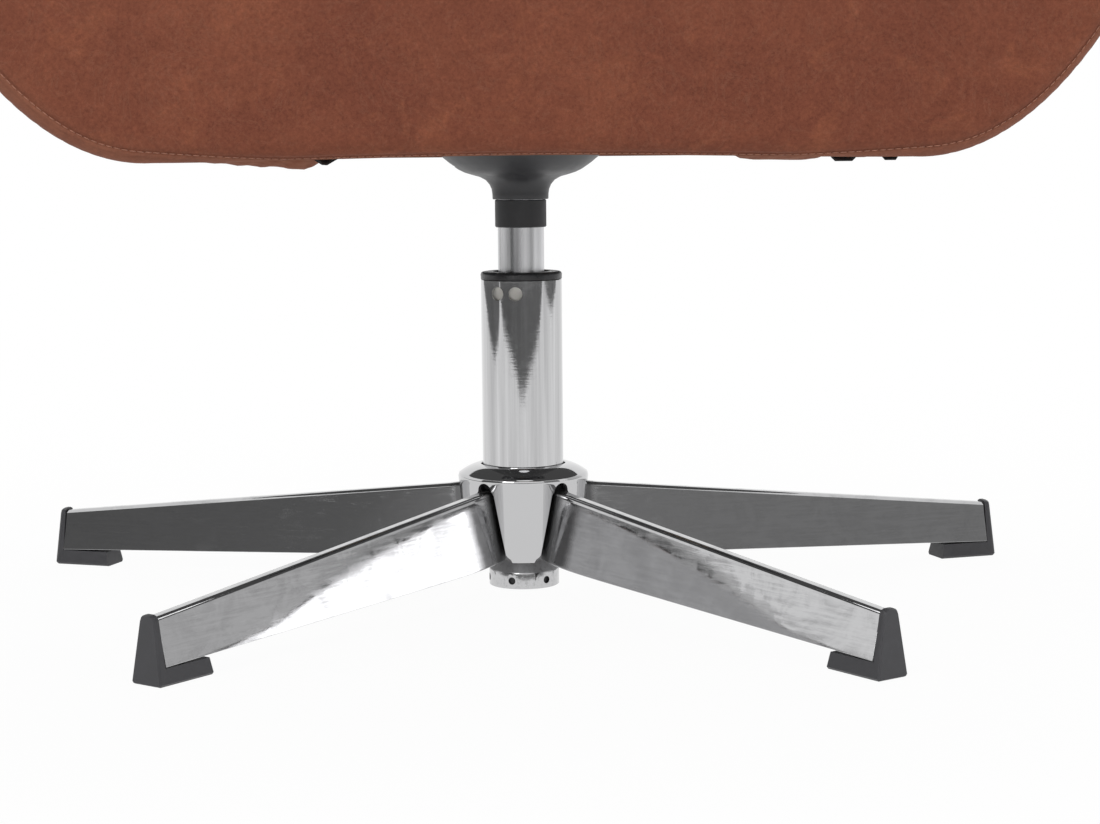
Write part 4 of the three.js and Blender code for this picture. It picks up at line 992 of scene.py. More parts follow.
def dents(bm, points, deep, wide, pucker, size, seed, only=None):
    """Presses grooves along lines of points into a mesh in millimetres, with small puckers beside them."""
    tree = tree_of(points)
    bm.normal_update()
    for vert in bm.verts:
        if only and not only(vert):
            continue
        gap = tree.find(vert.co)[2]
        if gap > wide * 8:
            continue
        push = deep * math.exp(-((gap / wide) ** 2))
        push -= pucker * math.exp(-gap / (wide * 2.5)) * wavy(vert.co, size, seed)
        vert.co -= vert.normal * push


def tree_of(points):
    tree = KDTree(len(points))
    for index, point in enumerate(points):
        tree.insert(point, index)
    tree.balance()
    return tree


def laid_on(piece, points):
    """Points in millimetres brought to a piece's surface: (point, normal) pairs in metres."""
    surface = BVHTree.FromObject(piece, bpy.context.evaluated_depsgraph_get())
    found = [surface.find_nearest(Vector(point) * MM) for point in points]
    return [(place, normal) for place, normal, _, _ in found if place]


def arm_ring(share, sunk, rear_gap):
    """The arm's section on the +X side at a share of its length, from its lower edge over the top to
    its inner side, drawn in by sunk, with the rear end rear_gap before the back's rear face."""
    top = ARM_TOP_FRONT + (ARM_TOP_REAR - ARM_TOP_FRONT) * share
    shoulder = top - ARM_ROUND
    outer_end, inner_end = corner_angle(shoulder, CORNER_HIGH), corner_angle(shoulder, INNER_HIGH)
    outer_start = math.asin((ARM_EDGE - FLAT_HALF) / CORNER_WIDE)
    inner_start = math.asin(HEM_SHARE)
    flat = []
    for step in range(41):
        angle = outer_start + (outer_end - outer_start) * step / 40
        flat.append(corner_point(angle, CORNER_WIDE, CORNER_HIGH))
    start = flat[-1][0]
    finish = FLAT_HALF + INNER_WIDE * math.sin(inner_end)
    middle, half = (start + finish) / 2, (start - finish) / 2
    for step in range(1, 24):
        angle = math.pi * step / 24
        flat.append((middle + half * math.cos(angle), shoulder + ARM_ROUND * math.sin(angle)))
    for step in range(29):
        angle = inner_end + (inner_start - inner_end) * step / 28
        flat.append(corner_point(angle, INNER_WIDE, INNER_HIGH))
    foot_z, low_z = flat[-1][1], flat[0][1]
    for step in range(1, 7):
        flat.append((ARM_EDGE + ARM_HEM * (1 - step / 6), foot_z + (APRON_TOP - foot_z) * step / 6))
    for step in range(1, 8):
        flat.append((ARM_EDGE, APRON_TOP + (low_z - APRON_TOP) * step / 8))
    ring = []
    count = len(flat)
    for index, (x, z) in enumerate(flat):
        before, after = flat[index - 1], flat[(index + 1) % count]
        along = Vector((after[0] - before[0], after[1] - before[1])).normalized()
        inward = Vector((-along.y, along.x))
        outside = FLAT_HALF + CORNER_WIDE * math.sin(corner_angle(min(z, CORNER_CENTRE), CORNER_HIGH))
        thick = outside - inner_half(z) if z < shoulder else ARM_THICK
        place = Vector((x, z)) + inward * min(sunk, 0.4 * max(thick, 0.3))
        rear = back_rear(place.y) - BACK_BOW - rear_gap
        front = PANEL_BACK + 0.3
        ring.append(Vector((place.x, front + (rear - front) * share, place.y)))
    return ring


class CHAIR_OT_arms(bpy.types.Operator):
    """Makes the padded leather arms with their seams"""

    bl_idname = "chair.arms"
    bl_label = "Arms"

    ROUND = 12.0

    def execute(self, context):
        rings = [arm_ring(0, 1.6, self.ROUND), arm_ring(0.0006, 0.5, self.ROUND)]
        rings += [arm_ring(0.003 + 0.997 * step / 90, 0, self.ROUND) for step in range(91)]
        for step in range(1, 7):
            angle = math.pi / 2 * step / 6
            rings.append(arm_ring(
                1, self.ROUND * (1 - math.cos(angle)), self.ROUND * (1 - math.sin(angle))
            ))
        outer_seam = [ring[40] for ring in rings[2:-5]]
        inner_seam = [ring[64] for ring in rings[2:-5]]
        for side, name in ((1, "left"), (-1, "right")):
            bm = loop_surface(rings)
            bm.normal_update()
            for vert in bm.verts:
                place = vert.co
                free = min(1, (place.y - FRONT_FACE - 22) / 60)
                outside = place.x > 250 or place.z > 560
                if free <= 0 or not outside:
                    continue
                slack = 1.5 * wavy((place.x, place.y, place.z * 0.5), 110, side) + 0.5 * wavy(place, 34, 4)
                vert.co += vert.normal * slack * free - vert.normal * 0.8 * free
            dents(bm, outer_seam + inner_seam, 1.7, 2.2, 0.5, 9, 2)
            if side < 0:
                bmesh.ops.scale(bm, vec=(-1, 1, 1), verts=bm.verts)
            outward(bm)
            piece = started(f"arm_{name}_leather", bm, leather())
            finished(piece, "seat", "leather", [f"arm_{name}"], sharp=60)
            lines = [laid_on(piece, [
                ((point.x - away * 5.0 * 0.12) * side, point.y, point.z + 5.0) for point in seam
            ]) for seam, away in ((outer_seam, 1), (inner_seam, -1))]
            sewn(f"arm_{name}_stitching", lines, "seat")
        return {"FINISHED"}


def back_half(height):
    shoulder = ARM_TOP_REAR - ARM_ROUND
    if height < ARM_TOP_REAR:
        return inner_half(min(height, shoulder)) - 0.3
    lower = inner_half(shoulder) - 0.3
    corner = max(height - (BACK_TOP - BACK_TOP_CORNER), 0)
    drawn = BACK_TOP_CORNER - math.sqrt(max(BACK_TOP_CORNER**2 - corner**2, 0))
    wide = BACK_WIDE_HALF + (BACK_TOP_HALF - BACK_WIDE_HALF) * smooth(height, BACK_WIDE_AT, BACK_TOP)
    return lower + (wide - lower) * smooth(height, ARM_TOP_REAR, BACK_WIDE_AT) - drawn


def squircle(half_x, half_y, centre_y, power, count):
    """Points round a rectangle with very round corners."""
    points = []
    for index in range(count):
        angle = 2 * math.pi * index / count
        across, along = math.cos(angle), math.sin(angle)
        points.append(Vector((
            math.copysign(abs(across) ** (2 / power), across) * half_x,
            centre_y + math.copysign(abs(along) ** (2 / power), along) * half_y,
        )))
    return points


def bowed(point, height):
    return Vector((point.x, point.y - BACK_BOW * (point.x / BACK_WIDE_HALF) ** 2, height))


class CHAIR_OT_outer_back(bpy.types.Operator):
    """Makes the leather back shell with its edge seam and yoke"""

    bl_idname = "chair.outer_back"
    bl_label = "Outer back"

    FOOT_ROUND = 12
    EVEN_TOP = 880  # up to here the rings are evenly spaced
    RIM_START = 974
    SEAM_FOOT = 285
    SEAM_IN = 24
    SEAM_BELOW_TOP = 22
    YOKE_HEIGHT = 612.0

    def execute(self, context):
        rings = []
        foot, even, rim = self.FOOT_ROUND, self.EVEN_TOP, self.RIM_START
        heights = [SEAT_BOTTOM + foot * (1 - math.cos(math.pi / 2 * step / 6)) for step in range(7)]
        heights += [SEAT_BOTTOM + foot + (even - SEAT_BOTTOM - foot) * step / 90 for step in range(1, 91)]
        heights += [even + (rim - even) * math.sin(math.pi / 2 * step / 28) for step in range(1, 29)]
        heights += [rim + (BACK_TOP - rim) * math.sin(math.pi / 2 * step / 10) for step in range(1, 11)]
        for height in heights:
            near = max(height - (BACK_TOP - BACK_RIM_ROUND), 0) / BACK_RIM_ROUND
            low = max(SEAT_BOTTOM + foot - height, 0) / foot
            closing = math.sqrt(1 - min(near, 0.985) ** 2) * math.sqrt(1 - (low * 0.7) ** 2)
            thick = back_thick(height)
            flat = squircle(back_half(height), thick / 2 * closing, back_rear(height) - thick / 2, 5, 160)
            rings.append([bowed(point, height) for point in flat])
        bm = loop_surface(rings)

        outline = [Vector((back_half(height), height)) for height in heights]
        seam = []
        for index, point in enumerate(outline):
            before, after = outline[max(index - 1, 0)], outline[min(index + 1, len(outline) - 1)]
            along = (after - before).normalized()
            seam.append(point + Vector((-along.y, along.x)) * self.SEAM_IN)
        seam_top = BACK_TOP - self.SEAM_BELOW_TOP
        seam = [point for point in seam if self.SEAM_FOOT < point.y < seam_top]
        top = seam[-1]
        for step in range(1, 21):
            left = 1 - step / 20
            seam.append(Vector((top.x * left, seam_top + (top.y - seam_top) * left)))
        edge = seam + [Vector((-point.x, point.y)) for point in reversed(seam)]
        yoke = [Vector((x, self.YOKE_HEIGHT)) for x in range(-214, 215, 2)]

        def rear_points(line):
            dense = []
            for before, after in zip(line, line[1:]):
                steps = max(int((after - before).length / 2.5), 1)
                dense += [before.lerp(after, step / steps) for step in range(steps)]
            return [bowed(Vector((point.x, back_rear(point.y))), point.y) for point in dense]

        bm.normal_update()
        for vert in bm.verts:
            if vert.normal.y > 0.3 and vert.co.z > 300:
                fullness = smooth(back_half(vert.co.z) - abs(vert.co.x), 0, 60)
                flat = (vert.co.x, 0, vert.co.z)
                wave = 1.1 * wavy(flat, 120, 6) + 0.4 * wavy(flat, 40, 9)
                vert.co.y += fullness * (wave - 0.6)
        dents(
            bm, rear_points(edge) + rear_points(yoke), 1.8, 2.4, 0.5, 9, 5,
            only=lambda vert: vert.normal.y > 0.2,
        )
        outward(bm)
        piece = started("outer_back_leather", bm, leather())
        finished(piece, "seat", "leather", ["outer_back"], sharp=60)

        inner_edge = [Vector((point.x * (1 - 5 / 230), point.y - 5 * 0.3)) for point in edge]
        lines = [
            laid_on(piece, [point + Vector((0, 3, 0)) for point in rear_points(line)])
            for line in (inner_edge, [point - Vector((0, 5)) for point in yoke])
        ]
        sewn("outer_back_stitching", lines, "seat")
        return {"FINISHED"}


def puffed(piece, steps, pressure, most, limit):
    """Fills a cushion by Cloth, moves no point further than most millimetres, and keeps each inside
    limit(point)."""
    before = [vert.co.copy() for vert in piece.data.vertices]
    scene = bpy.context.scene
    cloth = piece.modifiers.new("filling", "CLOTH")
    settings = cloth.settings
    settings.quality = 6
    settings.mass = 0.25
    settings.tension_stiffness = settings.compression_stiffness = 18
    settings.shear_stiffness = 8
    settings.bending_stiffness = 1.2
    settings.use_pressure = True
    settings.uniform_pressure_force = pressure
    settings.effector_weights.gravity = 0
    cloth.collision_settings.use_collision = False
    cloth.point_cache.frame_start, cloth.point_cache.frame_end = 1, steps
    for number in range(1, steps + 1):
        scene.frame_set(number)
    settled(piece)
    scene.frame_set(1)
    for vert, start in zip(piece.data.vertices, before):
        move = vert.co - start
        if move.length > most * MM:
            move = move.normalized() * most * MM
        vert.co = limit((start + move) / MM) * MM
    return piece


def remeshed(name, node, voxel, shrink, centre, rounds=6):
    """A node's shape drawn in towards its middle, as an even skin."""
    bm = bmesh.new()
    bm.from_mesh(NODES[node].data)
    bmesh.ops.remove_doubles(bm, verts=bm.verts, dist=1e-6)
    for vert in bm.verts:
        vert.co = Vector(centre) * MM + Matrix.Diagonal(shrink) @ (vert.co - Vector(centre) * MM)
    piece = started(name, bm, leather(), in_metres=True)
    skin = piece.modifiers.new("skin", "REMESH")
    skin.mode = "VOXEL"
    skin.voxel_size = voxel * MM
    settled(piece)
    rounding = piece.modifiers.new("rounding", "SMOOTH")
    rounding.iterations = rounds
    return settled(piece)


def evened(piece, weigh, rounds):
    """Evens a cushion's face along Y, at each point by the share that weigh(point, normal) gives."""
    group = piece.vertex_groups.new(name="face")
    for vert in piece.data.vertices:
        group.add([vert.index], weigh(vert.co / MM, vert.normal), "REPLACE")
    evening = piece.modifiers.new("evening", "SMOOTH")
    evening.vertex_group = group.name
    evening.use_x = evening.use_z = False
    evening.iterations = rounds
    settled(piece)
    piece.vertex_groups.clear()
    return piece


def divided(piece):
    """One level of subdivision, written into the mesh."""
    piece.modifiers.new("finer", "SUBSURF").levels = 1
    return settled(piece)


class CHAIR_OT_seat_cushion(bpy.types.Operator):
    """Makes the filled seat cushion with its border seams"""

    bl_idname = "chair.seat_cushion"
    bl_label = "Seat cushion"

    TOP_LIMIT = 446.2
    SEAMS = ((419.0, 4.0), (362.0, -4.5))  # heights, and the way from each to its stitches

    def execute(self, context):
        low, _, middle = corners_of(*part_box("seat_cushion"))
        rear_edge = back_rear(APRON_TOP) - BACK_THICK

        def limit(point):
            side = inner_half(min(max(point.z, APRON_TOP), 470)) - 0.9
            return Vector((
                clamped(point.x, -side, side), clamped(point.y, FRONT_FACE + 1.5, rear_edge - 1.5),
                clamped(point.z, low[2] + 0.2, self.TOP_LIMIT),
            ))

        piece = remeshed("seat_cushion_leather", "seat_cushion", 5, (0.993, 0.995, 0.98), middle, rounds=8)
        puffed(piece, 20, 4, 14, limit)
        divided(piece)
        bm = in_millimetres(piece)
        surface = BVHTree.FromBMesh(bm)
        seams, stitches = [], []
        for height, shift in self.SEAMS:
            ring = squircle(260, 330, middle[1], 7, 900)
            for line, rise in ((seams, 0), (stitches, shift)):
                found = []
                for point in ring:
                    start = Vector((point.x, point.y, height + rise))
                    aim_y = clamped(point.y * 0.6 + middle[1] * 0.4, -160, -20)
                    aim = Vector((middle[0], aim_y, height + rise))
                    hit = surface.ray_cast(start, (aim - start).normalized())[0]
                    if hit:
                        found.append(hit)
                line.append(found)
        dents(bm, [point for line in seams for point in line], 2.4, 3.0, 0.9, 11, 7)
        bm.normal_update()
        for vert in bm.verts:
            if vert.normal.z > 0.2 and vert.co.z > 428:
                fold = wavy((vert.co.x * 1.4, vert.co.y * 0.7, 0), 62, 11)
                vert.co.z += 0.9 * fold - 0.9
            vert.co = limit(vert.co)
        outward(bm)
        written(bm, piece)
        finished(piece, "seat", "leather", ["seat_cushion"], sharp=180)
        sewn("seat_cushion_stitching", [laid_on(piece, line) for line in stitches], "seat")
        return {"FINISHED"}


class CHAIR_OT_back_cushion(bpy.types.Operator):
    """Makes the filled back cushion with its three sewn rolls"""

    bl_idname = "chair.back_cushion"
    bl_label = "Back cushion"

    SEAM_HALF = 218
    SEAM_FROM_END = 16
    STITCH_IN = 5.0

    def execute(self, context):
        low, high, middle = corners_of(*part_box("back_cushion"))

        def limit(point):
            height = clamped(point.z, low[2] + 0.1, high[2] + 4)
            side = min(back_half(height) - 2, inner_half(min(height, 585)) - 1.5 if height < 600 else 400)
            behind = back_rear(height) - back_thick(height) - 0.9 - BACK_BOW * (point.x / BACK_WIDE_HALF) ** 2
            return Vector((clamped(point.x, -side, side), min(behind, point.y), height))

        piece = remeshed("back_cushion_leather", "back_cushion", 5, (0.99, 0.98, 0.995), middle, rounds=36)
        puffed(piece, 20, 4, 16, limit)
        span = high[2] - low[2]
        evened(piece, lambda point, normal: (
            smooth(-normal.y, 0.1, 0.5) * smooth(225 - abs(point.x), 0, 35)
            * smooth(point.z - low[2], 2, 22) * smooth(low[2] + span / 3 - point.z, 8, 30)
        ), 400)
        divided(piece)
        bm = in_millimetres(piece)
        bm.normal_update()
        channels = [low[2] + span / 3, low[2] + span * 2 / 3]
        for vert in bm.verts:
            if vert.normal.y > 0.25:
                continue
            gap = min(abs(vert.co.z - channel) for channel in channels)
            edge = 1 - smooth(abs(vert.co.x), 205, 232)
            gathers = wavy((vert.co.x, vert.co.y * 0.2, vert.co.z * 0.25), 15, 13)
            pull = 8.5 * math.exp(-((gap / 7) ** 2)) + 1.5 * math.exp(-gap / 20) * gathers * min(gap / 6, 1)
            vert.co -= vert.normal * pull * edge
            vert.co += vert.normal * 0.8 * wavy((vert.co.x * 0.6, 0, vert.co.z), 55, 17)
        surface = BVHTree.FromBMesh(bm)
        border, stitches = [], []
        for line, shift in ((border, 0.0), (stitches, self.STITCH_IN)):
            half, tall = self.SEAM_HALF - shift, span / 2 - self.SEAM_FROM_END - shift
            for x, z in squircle(half, tall, middle[2], 7, 1200):
                if z < 600:
                    room = inner_half(z) - 13 - shift
                    x = clamped(x, -room, room)
                hit = surface.ray_cast(Vector((x, low[1] - 60, z)), Vector((0, 1, 0)))[0]
                if hit:
                    line.append(hit)
        dents(bm, border, 2.6, 3.0, 0.9, 11, 19, only=lambda vert: vert.normal.y < 0.5)
        for vert in bm.verts:
            vert.co = limit(vert.co)
        outward(bm)
        written(bm, piece)
        finished(piece, "seat", "leather", ["back_cushion"], sharp=180)
        sewn("back_cushion_stitching", [laid_on(piece, stitches)], "seat")
        return {"FINISHED"}


# Underside


class CHAIR_OT_hems(bpy.types.Operator):
    """Makes the gathered leather hem tacked under the rails, with its black cloth folds"""

    bl_idname = "chair.hems"
    bl_label = "Hems"

    # x and z of the hem's lowest line behind the front panel, in millimetres
    FRONT_LOW = (
        (-206, 274.2), (-186, 269.2), (-172, 267.4), (-158, 266.4), (-150, 265.9), (-140, 265.1),
        (-128, 264.6), (-119, 264.2), (-115, 263.1), (-111, 262.7), (-107, 263.5), (-103, 265.2),
        (-100, 268.6), (-95, 269.8), (0, 270.4), (94, 269.4), (100, 266.4), (108, 265.7), (128, 265.5),
        (134, 266.0), (138, 268.4), (148, 268.4), (153, 266.3), (159, 266.4), (161, 267.8), (167, 267.8),
        (172, 267.4), (186, 269.2), (206, 274.2),
    )

    # Half the width, the front and the rear of the hem's outer and inner edges
    OUTER = (205.6, -363.4, 226.0)
    INNER = (179.5, -333, 156)
    # Heights of the outer edge in front, at the rear and at the sides, of the inner edge, of the lowest
    # line away from the front, and of the rails. The bulge ends at a share of the way inwards.
    FRONT_EDGE = 269.4
    REAR_EDGE = 267.4
    SIDE_EDGE = 273.4
    INNER_EDGE = 273.2
    LOW = 267.9
    RAILS = 274.0
    BULGE_END = 0.62

    def front_low(self, x):
        for (x0, z0), (x1, z1) in zip(self.FRONT_LOW, self.FRONT_LOW[1:]):
            if x0 <= x <= x1:
                return z0 + (z1 - z0) * smooth(x, x0, x1)
        return self.FRONT_LOW[0][1]

    def execute(self, context):
        def corner(rect, index):
            half, front, rear = rect
            return (
                Vector((-half, front)), Vector((half, front)), Vector((half, rear)), Vector((-half, rear))
            )[index % 4]

        def place(share, v):
            side = min(int(v * 4), 3)
            part = v * 4 - side
            a = corner(self.OUTER, side).lerp(corner(self.OUTER, side + 1), part)
            b = corner(self.INNER, side).lerp(corner(self.INNER, side + 1), part)
            flat = a.lerp(b, share)
            front = {0: 1.0, 1: 1 - smooth(part, 0, 0.05), 3: smooth(part, 0.95, 1), 2: 0.0}[side]
            other_edge = self.REAR_EDGE if side == 2 else self.SIDE_EDGE
            edge_z = self.FRONT_EDGE * front + (1 - front) * other_edge
            low_z = self.front_low(a.x) * front + (1 - front) * self.LOW
            bulge = math.sin(math.pi * share / self.BULGE_END) ** 0.8 if share < self.BULGE_END else 0
            base = edge_z + (self.INNER_EDGE - edge_z) * smooth(share, 0.1, 0.9)
            height = base - (base - low_z) * bulge
            run = a.x if side in (0, 2) else a.y
            gathers = math.sin(run / 3.4 + 2.6 * wavy((run, share * 60, 0), 34, 21))
            fold = 0.75 * smooth(share, 0.25, 0.8) * gathers
            if side == 0 and -160 < a.x < -100:
                fold += 0.35 * math.sin((a.x + share * 46) / 1.8) * math.sin(math.pi * (a.x + 160) / 60)
            height += fold + 0.4 * wavy((flat.x, flat.y, 0), 22, 23)
            lean = min(max(abs(flat.x) - FLAT_HALF, 0) / CORNER_WIDE, 0.5)
            side_skin = CORNER_CENTRE - CORNER_HIGH * math.sqrt(1 - lean * lean) + 0.9 if lean else 0
            height = max(height, side_skin)
            return Vector((flat.x, flat.y, min(height, self.RAILS)))

        bm = sheet_of(14, 760, place, seam=0.3)
        outward(bm)
        facing_down(bm)
        area = area_of(bm)
        thickened(bm, 0.9)
        worn_and_lit = bm.verts.layers.float.new("worn_and_lit")
        # Painted highlight: paler diagonal stripes along the fold ridges near the front edge
        for vert in bm.verts:
            near = smooth(-vert.co.y, 325, 345)
            ridge = 0.5 + 0.5 * math.sin((vert.co.x + (-vert.co.y - 363) * -1.6) / 1.8)
            vert[worn_and_lit] = near * (0.3 + 0.7 * ridge)
        piece = started("hem_gathers", bm, leather())
        finished(piece, "seat", "leather", sharp=60)

        tongues = bmesh.new()
        for start, finish, low, skew in (
            (-107, -82, 264.9, 0.46), (134.5, 149.5, 265.3, 0.2), (158.5, 168.5, 265.6, 0.2),
        ):
            made = bmesh.ops.create_grid(tongues, x_segments=12, y_segments=6, size=0.5)
            for vert in made["verts"]:
                share, back = vert.co.x + 0.5, vert.co.y + 0.5
                drop = min(share / skew, (1 - share) / (0.54 if start < 0 else skew), 1.0)
                height = 272.6 - (272.6 - low) * drop * (1 - 0.6 * back)
                vert.co = Vector((start + (finish - start) * share, -359.5 + 22 * back, height))
        area = area_of(tongues)
        thickened(tongues, 0.6)
        piece = started("dust_cover_folds", tongues, black_cloth())
        finished(piece, "seat", "black_cloth", sharp=60)
        return {"FINISHED"}


class CHAIR_OT_dust_cover(bpy.types.Operator):
    """Makes the black cloth under the seat and the elastic deck that carries the cushion"""

    bl_idname = "chair.dust_cover"
    bl_label = "Dust cover"

    UNDER = 274.5
    SUNK_TOP = 298.7  # where the cloth is drawn up between the rails
    SUNK_HALF = 175.6
    SUNK_FRONT, SUNK_REAR = -333.6, 153.3
    OPENING_HALF = 104.5  # round the seat plate
    STAPLE_SIDES, STAPLE_FRONT, STAPLE_REAR = 196, -350, 170
    STAPLE_PITCH = 24
    STAPLE_HEIGHT = 273.75
    STAPLE_SIZE = (1.1, 10, 0.8)

    def execute(self, context):
        low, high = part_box("dust_cover")
        x0, x1, y0, y1 = low[0] / MM, high[0] / MM, low[1] / MM, high[1] / MM

        def stations(start, finish, inner_start, inner_finish, count):
            line = [(start + (inner_start - start) * i / 5, 0.0) for i in range(6)]
            line += [(inner_start + 0.25 * i, i / 6) for i in range(1, 6)]
            a, b = inner_start + 1.5, inner_finish - 1.5
            line += [(a + (b - a) * i / count, 1.0) for i in range(count + 1)]
            line += [(inner_finish - 0.25 * i, i / 6) for i in range(5, 0, -1)]
            line += [(inner_finish + (finish - inner_finish) * i / 5, 0.0) for i in range(6)]
            return line

        columns = stations(x0 + 0.2, x1 - 0.2, -self.SUNK_HALF, self.SUNK_HALF, 84)
        rows = stations(y0 + 0.2, y1 - 0.2, self.SUNK_FRONT, self.SUNK_REAR, 118)

        def place(u, v):
            x, rise_x = columns[round(u * (len(columns) - 1))]
            y, rise_y = rows[round(v * (len(rows) - 1))]
            rise = min(rise_x, rise_y)
            z = self.UNDER + (self.SUNK_TOP - self.UNDER) * rise
            if rise >= 1:
                z -= 0.9 + 0.9 * wavy((x, y, 0), 46, 31)
            elif rise == 0:
                z -= 0.25 + 0.3 * wavy((x, y, 0), 16, 33)
            return Vector((x, y, z))

        bm = sheet_of(len(columns) - 1, len(rows) - 1, place, seam=0.0001)
        opening = [
            face for face in bm.faces
            if max(abs(share) for share in face.calc_center_median().xy) < self.OPENING_HALF
        ]
        bmesh.ops.delete(bm, geom=opening, context="FACES")
        bm.normal_update()
        facing_down(bm)
        area = area_of(bm)
        thickened(bm, 0.8)
        piece = started("dust_cover_cloth", bm, black_cloth())
        finished(piece, "seat", "black_cloth", ["dust_cover"], sharp=60)

        low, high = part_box("seat_deck")
        bm = sheet_of(60, 80, lambda u, v: Vector((
            (low[0] + (high[0] - low[0]) * u) / MM, (low[1] + (high[1] - low[1]) * v) / MM,
            high[2] / MM - 0.2 - 0.9 * math.sin(math.pi * u) * math.sin(math.pi * v),
        )))
        bm.normal_update()
        thickened(bm, 0.9)
        piece = started("seat_deck_cloth", bm, leather())
        finished(piece, "seat", "leather", ["seat_deck"], sharp=60)

        staples = bmesh.new()
        for along in range(self.STAPLE_FRONT, 176, self.STAPLE_PITCH):
            for side in (-1, 1):
                self.staple(staples, side * self.STAPLE_SIDES, along, 0)
        for across in range(-168, 169, self.STAPLE_PITCH):
            for along in (self.STAPLE_FRONT, self.STAPLE_REAR):
                self.staple(staples, across, along, 90)
        piece = started("dust_cover_staples", staples, steel())
        finished(piece, "seat", "steel")
        return {"FINISHED"}

    def staple(self, bm, x, y, turn):
        """One staple at x and y, driven in a few degrees off its turn."""
        askew = math.radians(turn + 12 * wavy((x, y, 0), 9))
        made = bmesh.ops.create_cube(bm, size=1, matrix=(
            Matrix.Translation((x, y, self.STAPLE_HEIGHT)) @ Matrix.Rotation(askew, 4, "Z")
            @ Matrix.Diagonal((*self.STAPLE_SIZE, 1))
        ))
        edges = list({edge for vert in made["verts"] for edge in vert.link_edges})
        bmesh.ops.bevel(
            bm, geom=edges, offset=0.25, segments=1, profile=0.5, affect="EDGES", clamp_overlap=True,
            material=-1,
        )


# Star base


def bearing(index):
    return -math.radians(BASE_TURN + 360 * index / len(LEG_NAMES))


def turned_to_leg(bm, index):
    """Turns what was made along +Y to a leg's bearing."""
    bmesh.ops.rotate(bm, verts=bm.verts, cent=(0, 0, 0), matrix=Matrix.Rotation(bearing(index), 3, "Z"))


def along_leg(ends, radius):
    root, end = ends
    return root + (end - root) * (radius - LEG_ROOT) / (LEG_REACH - LEG_ROOT)


def leg_under(radius):
    return along_leg(LEG_UNDERS, radius) + LEG_FLARE * math.exp((LEG_ROOT - radius) / LEG_FLARE_RUN)


def mirrored(half):
    """Half an outline that ends on the middle line, and its other half."""
    return half + [(-x, z) for x, z in reversed(half[:-1])]


def leg_half(under, top, inward):
    """Half of a leg's folded section from its foot to the middle of its top."""
    foot, shoulder = LEG_FOOT_HALF - inward, LEG_TOP_HALF - inward
    round_by = LEG_ROUND - inward * 0.8
    high = top - inward
    points = []
    for step in range(7):
        points.append((foot + (shoulder - foot) * step / 6, under + (high - round_by - under) * step / 6))
    for step in range(1, 6):
        angle = math.pi / 2 * step / 5
        points.append((
            shoulder - round_by * (1 - math.cos(angle)) * 0.9, high - round_by * (1 - math.sin(angle))
        ))
    points.append((0, high))
    return points


class CHAIR_OT_legs(bpy.types.Operator):
    """Makes the five legs, each a folded and chromed steel channel"""

    bl_idname = "chair.legs"
    bl_label = "Legs"

    def execute(self, context):
        for index, name in enumerate(LEG_NAMES):
            def ring(radius):
                under, top = leg_under(radius), along_leg(LEG_TOPS, radius)
                whole, hollow = (mirrored(leg_half(under, top, inward)) for inward in (0, LEG_SHEET))
                return whole + list(reversed(hollow)) + whole[:1]

            count = len(ring(LEG_ROOT)) - 1

            def place(u, v):
                radius = LEG_ROOT + (LEG_REACH - LEG_ROOT) * v
                x, z = ring(radius)[round(u * count)]
                bend = 0.12 * wavy((x * 0.2, radius, z), 60, index)
                return Vector((x + math.copysign(bend, x) * (abs(x) > 3), radius, z))

            bm = capped(sheet_of(count, 60, place, seam=0.001))
            uv = bm.loops.layers.uv.new("sheet")
            for face in bm.faces:
                for loop in face.loops:
                    loop[uv].uv = (loop.vert.co.y * MM, loop.vert.co.z * MM)
            softened(bm, 0.35, 60, 2)
            turned_to_leg(bm, index)
            piece = started(f"leg_{name}_sheet", bm, leg_chrome())
            finished(piece, "base", "chrome", [f"leg_{name}"], sharp=50, weighted=True)
        return {"FINISHED"}


class CHAIR_OT_feet(bpy.types.Operator):
    """Makes the five moulded caps on the legs' ends"""

    bl_idname = "chair.feet"
    bl_label = "Feet"

    def execute(self, context):
        for name in LEG_NAMES:
            piece = refined(f"foot_{name}", foot_plastic(), width=0.7, angle=25, segments=3)
            finished(piece, "base", "foot_plastic", [f"foot_{name}"], sharp=40, weighted=True)
        return {"FINISHED"}


